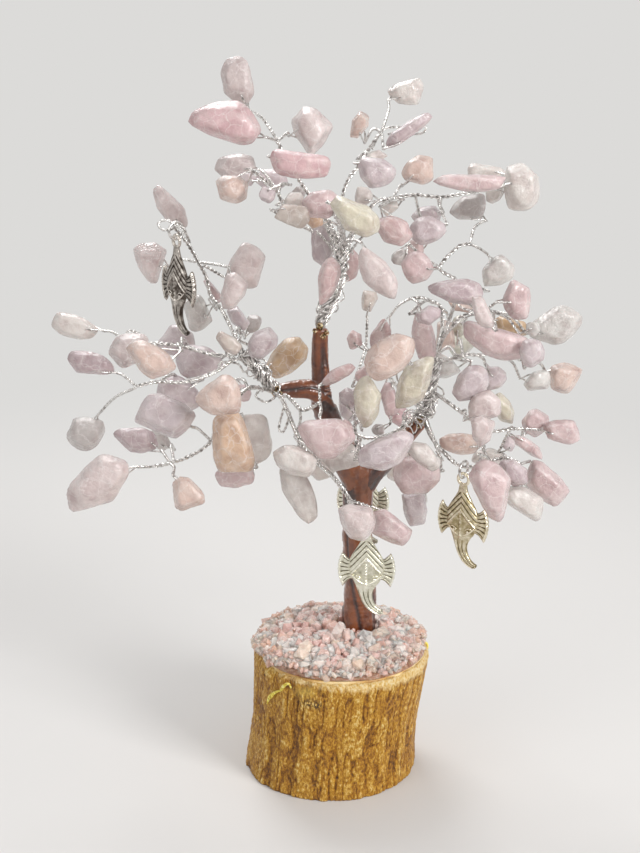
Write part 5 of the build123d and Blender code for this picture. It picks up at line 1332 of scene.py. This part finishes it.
# Sideways and half width as shares of WIDE, down as a share of LONG, half depth as a share of DEEP
head_shares = np.array([
    (0.0, 0.05, 0.065, 0.2), (0.0, 0.11, 0.08, 0.27), (0.0, 0.16, 0.1, 0.33),
    (0.0, 0.24, 0.17, 0.42), (0.0, 0.34, 0.26, 0.48), (0.0, 0.42, 0.3, 0.5),
    (0.0, 0.52, 0.29, 0.48), (0.0, 0.6, 0.25, 0.45), (-0.01, 0.68, 0.18, 0.42),
    (-0.012, 0.75, 0.135, 0.4), (0.0, 0.82, 0.108, 0.37), (0.03, 0.88, 0.095, 0.34),
    (0.085, 0.94, 0.083, 0.3), (0.16, 0.985, 0.07, 0.25), (0.235, 1.005, 0.055, 0.2),
    (0.285, 1.0, 0.03, 0.12)])
FOREHEAD_END = 0.335 * LONG  # where the lowest rib meets the middle line
HEAD_STATIONS = 60  # the depth is read here and blended between


def cut_line(phase, width):
    """1 in the middle of a cut, 0 beyond its width; phase counts cuts."""
    gap = np.abs(phase - np.round(phase))
    return np.exp(-(gap / width) ** 2)


def charm_head():
    """A section carried down the face. Ribs slope down from the middle line on each side of the
    forehead, a beaded ridge runs down to the trunk, and cuts follow the trunk's length."""
    rows = smooth_path(head_shares[:, :3] * (WIDE, -LONG, WIDE), 0.12)
    along = lengths_along(rows)
    step = max(1, len(rows) // HEAD_STATIONS)
    station_depth = np.interp(-rows[::step, 1] / LONG, head_shares[:-2, 1], head_shares[:-2, 3] * DEEP)
    depth = np.interp(along, along[::step], station_depth)
    steps = np.gradient(rows[:, :2], axis=0)
    steps /= np.linalg.norm(steps, axis=1)[:, None]
    angle = np.linspace(0, 2 * math.pi, 120, endpoint=False)
    out, front = np.cos(angle), np.sin(angle)
    x = rows[:, 0][:, None] - steps[:, 1][:, None] * rows[:, 2][:, None] * out
    z = rows[:, 1][:, None] + steps[:, 0][:, None] * rows[:, 2][:, None] * out
    down = -rows[:, 1][:, None] + 0 * x
    across = np.abs(x)
    faces_front = np.clip((np.abs(front) - 0.1) / 0.3, 0, 1)
    edge = down - 1.12 * across
    forehead = np.clip((down - 3.4) / 0.6, 0, 1) * np.clip((FOREHEAD_END - edge) / 0.3, 0, 1)
    ribs = cut_line(edge / 1.62, 0.13) * forehead
    brow = np.exp(-((edge - FOREHEAD_END - 0.3) / 0.3) ** 2) * (down < 0.62 * LONG)
    beads = 0.75 + 0.25 * np.cos(down * 2 * math.pi / 0.95)
    middle = np.clip((0.44 - np.abs(x + 0.1)) / 0.3, 0, 1) * np.clip((down - 0.36 * LONG) / 0.5, 0, 1)
    middle = middle * np.clip((0.72 * LONG - down) / 1.5, 0, 1) * beads
    trunk_part = np.clip((down - 0.7 * LONG) / 1.6, 0, 1)
    lengthwise = cut_line((out + 0.28) / 0.62, 0.12) * trunk_part
    rim = np.exp(-((out + 0.62) / 0.14) ** 2) * trunk_part
    cheek = np.clip((edge - 0.36 * LONG) / 0.8, 0, 1) * np.clip((0.66 * LONG - down) / 1.2, 0, 1)
    relief = -0.3 * ribs + 0.28 * brow + 0.42 * middle - 0.26 * lengthwise + 0.2 * rim - 0.3 * cheek
    relief = relief * faces_front
    y = -(depth[:, None] * np.sign(front) * np.abs(front) ** 0.75) - relief * np.sign(front)
    polish = 0.72 - 0.75 * ribs - 0.6 * lengthwise + 0.3 * middle + 0.25 * brow - 0.2 * cheek + 0.2 * rim
    polish = np.where(faces_front > 0.3, polish, 0.55)
    return np.stack([x, y, z], axis=-1), np.clip(polish, 0, 1)


print("the head's grid", charm_head()[1].shape)

# %% [markdown]
# The ears are fans with sharp corners. A sheet is shaped by two shares, a down the ear and b from
# the head to the rim; its front and back are joined at the edge, and the relief thickens it.

# %% Ears
def charm_ear(side):
    """A fan with sharp corners: ribs run out from the head to a raised rim of short beads."""
    a = np.linspace(0, 1, 90)
    b = np.linspace(0, 1, 26)
    rim_shares = [(0.415, 0, 0.3), (0.46, 0, 0.36), (0.487, 0, 0.43), (0.497, 0, 0.5), (0.487, 0, 0.57),
                  (0.46, 0, 0.64), (0.415, 0, 0.71)]
    edge = smooth_path(rim_shares, 0.004)
    edge = edge[np.linspace(0, len(edge) - 1, 90).astype(int)]
    root_x = 0.22 + 0.02 * np.sin(a * math.pi)
    root_z = 0.37 + 0.235 * a
    scallop = 1 - 0.018 * np.abs(np.cos(a * math.pi * 9))
    bow = 0.035 * np.sin(b * math.pi) * (2 * a[:, None] - 1)
    x = root_x[:, None] * (1 - b) + (edge[:, 0] * scallop)[:, None] * b
    z = root_z[:, None] * (1 - b) + edge[:, 2][:, None] * b - bow
    fan = np.clip(b / 0.35, 0, 1) * np.clip((0.86 - b) / 0.06, 0, 1)
    cuts = cut_line(a * 6 + 0.5, 0.13)[:, None] * fan
    rim = np.exp(-((b - 0.93) / 0.055) ** 2)
    beads = rim * (0.5 + 0.5 * np.cos(2 * math.pi * a * 16))[:, None]
    relief = 0.26 * rim + 0.1 * beads - 0.24 * cuts
    flat = np.clip(np.minimum(np.minimum(a, 1 - a)[:, None] * 24, (1 - b) * 14), 0, 1) ** 0.5
    half = 0.1 + 0.33 * flat
    tilt = 0.45 * b**1.5
    front = np.stack([side * x * WIDE, tilt - half - relief * flat, -z * LONG], axis=-1)
    rear = np.stack([side * x * WIDE, tilt + half + relief * flat, -z * LONG], axis=-1)
    sheet = np.concatenate([front, rear[:, ::-1]], axis=1)
    polish = np.clip(0.68 - 0.75 * cuts + 0.3 * rim, 0, 1)
    polish = np.concatenate([polish, polish[:, ::-1]], axis=1)
    return (sheet, polish) if side > 0 else (sheet[::-1], polish[::-1])


print("an ear's grid", charm_ear(1)[1].shape)

# %% [markdown]
# Each eye is a crescent under a brow with a ball between them, on the front and on the back alike.
# The bail is a small hoop on top, through which the jump ring passes.

# %% Eyes, bail and jump ring
def small_ball(middle, radius, flat=1.0):
    """A ball of 10 by 14 points; flat squashes it from front to back."""
    v = np.linspace(0.15, math.pi - 0.15, 10)[:, None]
    u = np.arange(14) * 2 * math.pi / 14
    points = np.stack([np.sin(v) * np.cos(u), flat * np.sin(v) * np.sin(u), -np.cos(v) + 0 * u], axis=-1)
    return np.asarray(middle) + radius * points, grid_faces(10, 14, caps=True)


def hoop(radius, wire, axis, rows=48, columns=12):
    """A round wire bent into a circle: (R + r cos b) out + r sin b along the axis (0 X, 1 Y)."""
    a = np.arange(rows)[:, None] * 2 * math.pi / rows
    b = np.arange(columns)[None] * 2 * math.pi / columns
    out, rise = radius + wire * np.cos(b), wire * np.sin(b) + 0 * a
    across = out * np.cos(a)
    ring = [across, rise, out * np.sin(a)] if axis == 1 else [rise, across, out * np.sin(a)]
    faces = grid_faces(rows, columns)
    seam = (rows - 1) * columns
    faces += [[seam + k, seam + (k + 1) % columns, (k + 1) % columns, k] for k in range(columns)]
    if axis == 1:
        faces = [face[::-1] for face in faces]
    return np.stack(ring, axis=-1).reshape(-1, 3), faces


BAIL_RADIUS, BAIL_WIRE = 1.62, 0.46
RING_RADIUS, RING_WIRE = 2.3, 0.38


def charm_parts():
    """All parts of one charm about its bail's hole, with how bright each point is polished."""
    head, head_polish = charm_head()
    parts = [(head, grid_faces(*head.shape[:2], caps=True))]
    polish = [head_polish.ravel()]
    for side in (-1, 1):
        ear, ear_polish = charm_ear(side)
        parts.append((ear, grid_faces(*ear.shape[:2], caps=True)))
        polish.append(ear_polish.ravel())
    extras = [hoop(BAIL_RADIUS, BAIL_WIRE, 1)]
    for side in (-1, 1):
        t = np.linspace(0, 1, 26)
        for face in (-1, 1):
            y = face * (0.36 * DEEP + 0.16 * np.sin(t * math.pi) + 0.1)
            lower = np.stack([side * (0.045 + 0.2 * t) * WIDE, y - face * 0.45 * t,
                              -LONG * (0.655 - 0.05 * t - 0.045 * t**2)], axis=-1)
            upper = np.stack([side * (0.075 + 0.15 * t) * WIDE, y - face * 0.4 * t,
                              -LONG * (0.6 - 0.035 * np.sin(t * math.pi) - 0.01 * t)], axis=-1)
            extras.append(tube(lower, 0.1 + 0.22 * np.sin(t * math.pi) ** 0.7, 9))
            extras.append(tube(upper, 0.06 + 0.12 * np.sin(t * math.pi), 8))
            extras.append(small_ball((side * 0.135 * WIDE, face * 0.38 * DEEP, -0.605 * LONG), 0.46, 0.6))
    parts += extras
    polish += [np.full(len(np.asarray(points).reshape(-1, 3)), 0.95) for points, _ in extras]
    return parts, np.concatenate(polish)


charm, charm_polish = charm_parts()
print("a charm has", len(charm), "parts and", len(charm_polish), "points")

# %% [markdown]
# The charms are cast in cheap tin alloy, plated and antiqued: a dark wash fills the hollows and is
# wiped off the ridges. So the colour and the gloss both follow the polish of each point, broken up
# by blots. The left charm is nearly black, the right one brassy, and the others are silvery.

# %% Antiqued castings
def antiqued(name, hollow, middle, ridge, roughness):
    """Cast metal with a patina: the polish attribute goes from the hollow to the ridge colour."""
    material, tree, shader, where = start_material(name, Roughness=roughness, Metallic=1.0)
    polish = add_node(tree, "Attribute", attribute_name="polish").outputs["Fac"]
    blots = add_node(tree, "TexNoise", noise_sockets(where, 1.3, 5, 0.65))
    mixed = add_node(tree, "Math", {0: blots, 1: 0.7}, operation="MULTIPLY")
    mixed = add_node(tree, "Math", {0: polish, 1: 0.6, 2: mixed}, operation="MULTIPLY_ADD")
    colour = add_node(tree, "ValToRGB", {"Fac": mixed}, stops=[
        (0.36, hollow), (0.64, middle), (0.92, ridge)])
    tree.links.new(colour.outputs[0], shader.inputs["Base Color"])
    dull = add_node(tree, "MapRange", {"Value": mixed, "From Min": 0.35, "From Max": 0.9,
                                       "To Min": roughness + 0.25, "To Max": roughness - 0.08})
    tree.links.new(dull.outputs[0], shader.inputs["Roughness"])
    pits = add_node(tree, "TexNoise", noise_sockets(where, 0.35, 4, 0.6))
    bump = add_node(tree, "Bump", {"Height": pits, "Distance": 0.00015, "Strength": 0.5})
    tree.links.new(bump.outputs[0], shader.inputs["Normal"])
    return material


charm_metals = {
    "left": (antiqued("dark_pewter", "#15110f", "#574e47", "#d8d1c9", 0.3), "dark_pewter"),
    "front": (antiqued("silver_pewter", "#524b3c", "#cbc7b2", "#faf8ea", 0.26), "silver_pewter"),
    "right": (antiqued("antique_brass", "#40362a", "#b1a27c", "#f5ecd6", 0.28), "antique_brass"),
}
charm_metals["back"] = charm_metals["front"]
# The pixel of the wire that each charm hangs on, its depth share, and its turn in degrees
hangers = {"left": (176, 226, 0.0, -52), "front": (367, 514, -0.42, -5), "right": (464, 465, -0.3, -35),
           "back": (363, 449, 0.42, -12)}
RING_DROP = 1.27  # from the wire's middle down to the ring's
BAIL_DROP = RING_RADIUS + 0.498  # from the ring's middle down to the bail's
for name, (u, v, depth_share, turn) in hangers.items():
    ring_middle = place(u, v, depth_share * CROWN) - (0, 0, RING_DROP)
    top = ring_middle - (0, 0, BAIL_DROP)
    cosine, sine = math.cos(math.radians(turn)), math.sin(math.radians(turn))
    turned = np.array([(cosine, sine, 0), (-sine, cosine, 0), (0, 0, 1)])
    placed = [(np.asarray(points).reshape(-1, 3) @ turned + top, faces) for points, faces in charm]
    metal, slot = charm_metals[name]
    add_piece("elephant_" + name, placed, metal, "charm_" + name, ["elephant_charm_" + name],
              values={"polish": charm_polish})
    ring_points, ring_faces = hoop(RING_RADIUS, RING_WIRE, 0)
    ring_points = ring_points @ turned + ring_middle
    add_piece("link_" + name, [(ring_points, ring_faces)], silver_wire, "ring_" + name,
              ["jump_ring_" + name])

# %% [markdown]
# ## Floor, light and camera
# A pale floor that fades into the backdrop with the distance from the log.

# %% Floor
floor_mesh = bpy.data.meshes.new("floor")
floor_mesh.from_pydata([(-6, -6, 0), (6, -6, 0), (6, 6, 0), (-6, 6, 0)], [], [[0, 1, 2, 3]])
floor = bpy.data.objects.new("floor", floor_mesh)
bpy.context.scene.collection.objects.link(floor)
pale, tree, shader, where = start_material("pale_floor", Roughness=0.7)
shader.inputs["Base Color"].default_value = to_linear("#d8d6d4")
shader.inputs["Specular IOR Level"].default_value = 0.2
distance = add_node(tree, "VectorMath", {0: where}, operation="LENGTH").outputs["Value"]
far = add_node(tree, "MapRange", {"Value": distance, "From Min": 0.16, "From Max": 0.5},
               interpolation_type="SMOOTHSTEP")
backdrop = add_node(tree, "Emission", {"Color": to_linear("#dcdbd9"), "Strength": 1.0})
blended = add_node(tree, "MixShader", {0: far, 1: shader, 2: backdrop})
tree.links.new(blended.outputs[0], tree.nodes["Material Output"].inputs["Surface"])
floor_mesh.materials.append(pale)
print("floor of", len(floor_mesh.polygons), "face")

# %% [markdown]
# The white world lights the shadows. To the camera, to mirrors and through glass it shows as the
# pale backdrop instead, so that the backdrop's tone can be set apart from the light.

# %% World
world = bpy.data.worlds.new("studio")
bpy.context.scene.world = world
world.use_nodes = True
tree = world.node_tree
light_path = add_node(tree, "LightPath").outputs
mirrored = add_node(tree, "Math", {0: light_path["Is Camera Ray"], 1: light_path["Is Glossy Ray"]},
                    operation="MAXIMUM")
mirrored = add_node(tree, "Math", {0: mirrored, 1: light_path["Is Transmission Ray"]}, operation="MAXIMUM")
background = tree.nodes["Background"]
background.inputs["Color"].default_value = (1, 1, 1, 1)
background.inputs["Strength"].default_value = 0.48
seen = add_node(tree, "Background", {"Color": to_linear("#dcdbd9"), "Strength": 1.0})
either = add_node(tree, "MixShader", {0: mirrored, 1: background, 2: seen})
tree.links.new(either.outputs[0], tree.nodes["World Output"].inputs["Surface"])
print("world strength", round(background.inputs["Strength"].default_value, 2))

# %% [markdown]
# Three square lamps: a large soft key like a window on the right, a fill from the left, and a light
# behind for the stones' edges.

# %% Lamps
def add_light(name, spot, aim, size, power):
    """A square area light in metres that looks at a point."""
    lamp = bpy.data.lights.new(name, "AREA")
    lamp.size, lamp.energy = size, power
    light = bpy.data.objects.new(name, lamp)
    light.location = spot
    light.rotation_euler = (Vector(aim) - Vector(spot)).to_track_quat("-Z", "Y").to_euler()
    bpy.context.scene.collection.objects.link(light)
    return light


add_light("key", (0.56, -0.5, 0.46), (0, 0, 0.11), 0.3, 5.2)
add_light("fill", (-0.5, -0.45, 0.5), (0, 0, 0.1), 0.4, 0.9)
add_light("rim", (-0.15, 0.42, 0.62), (0, 0, 0.12), 0.3, 2.4)

# %% [markdown]
# The camera is the photograph's: tipped down by its tilt, with its focal length in pixels turned to
# millimetres on a sensor side of 36 mm that stands for the picture's height.

# %% Camera
SENSOR, PICTURE_HEIGHT = 36.0, 853
camera_data = bpy.data.cameras.new("camera")
camera_data.sensor_fit = "VERTICAL"
camera_data.sensor_height = SENSOR
camera_data.lens = FOCAL * SENSOR / PICTURE_HEIGHT
camera_data.clip_start, camera_data.clip_end = 0.01, 20
camera = bpy.data.objects.new("camera", camera_data)
camera.location = EYE * METRE
camera.rotation_euler = (math.pi / 2 - TILT, 0, 0)
bpy.context.scene.collection.objects.link(camera)
bpy.context.scene.camera = camera
bpy.context.scene.view_settings.view_transform = "Standard"
print("lens", round(camera_data.lens, 1), "mm")
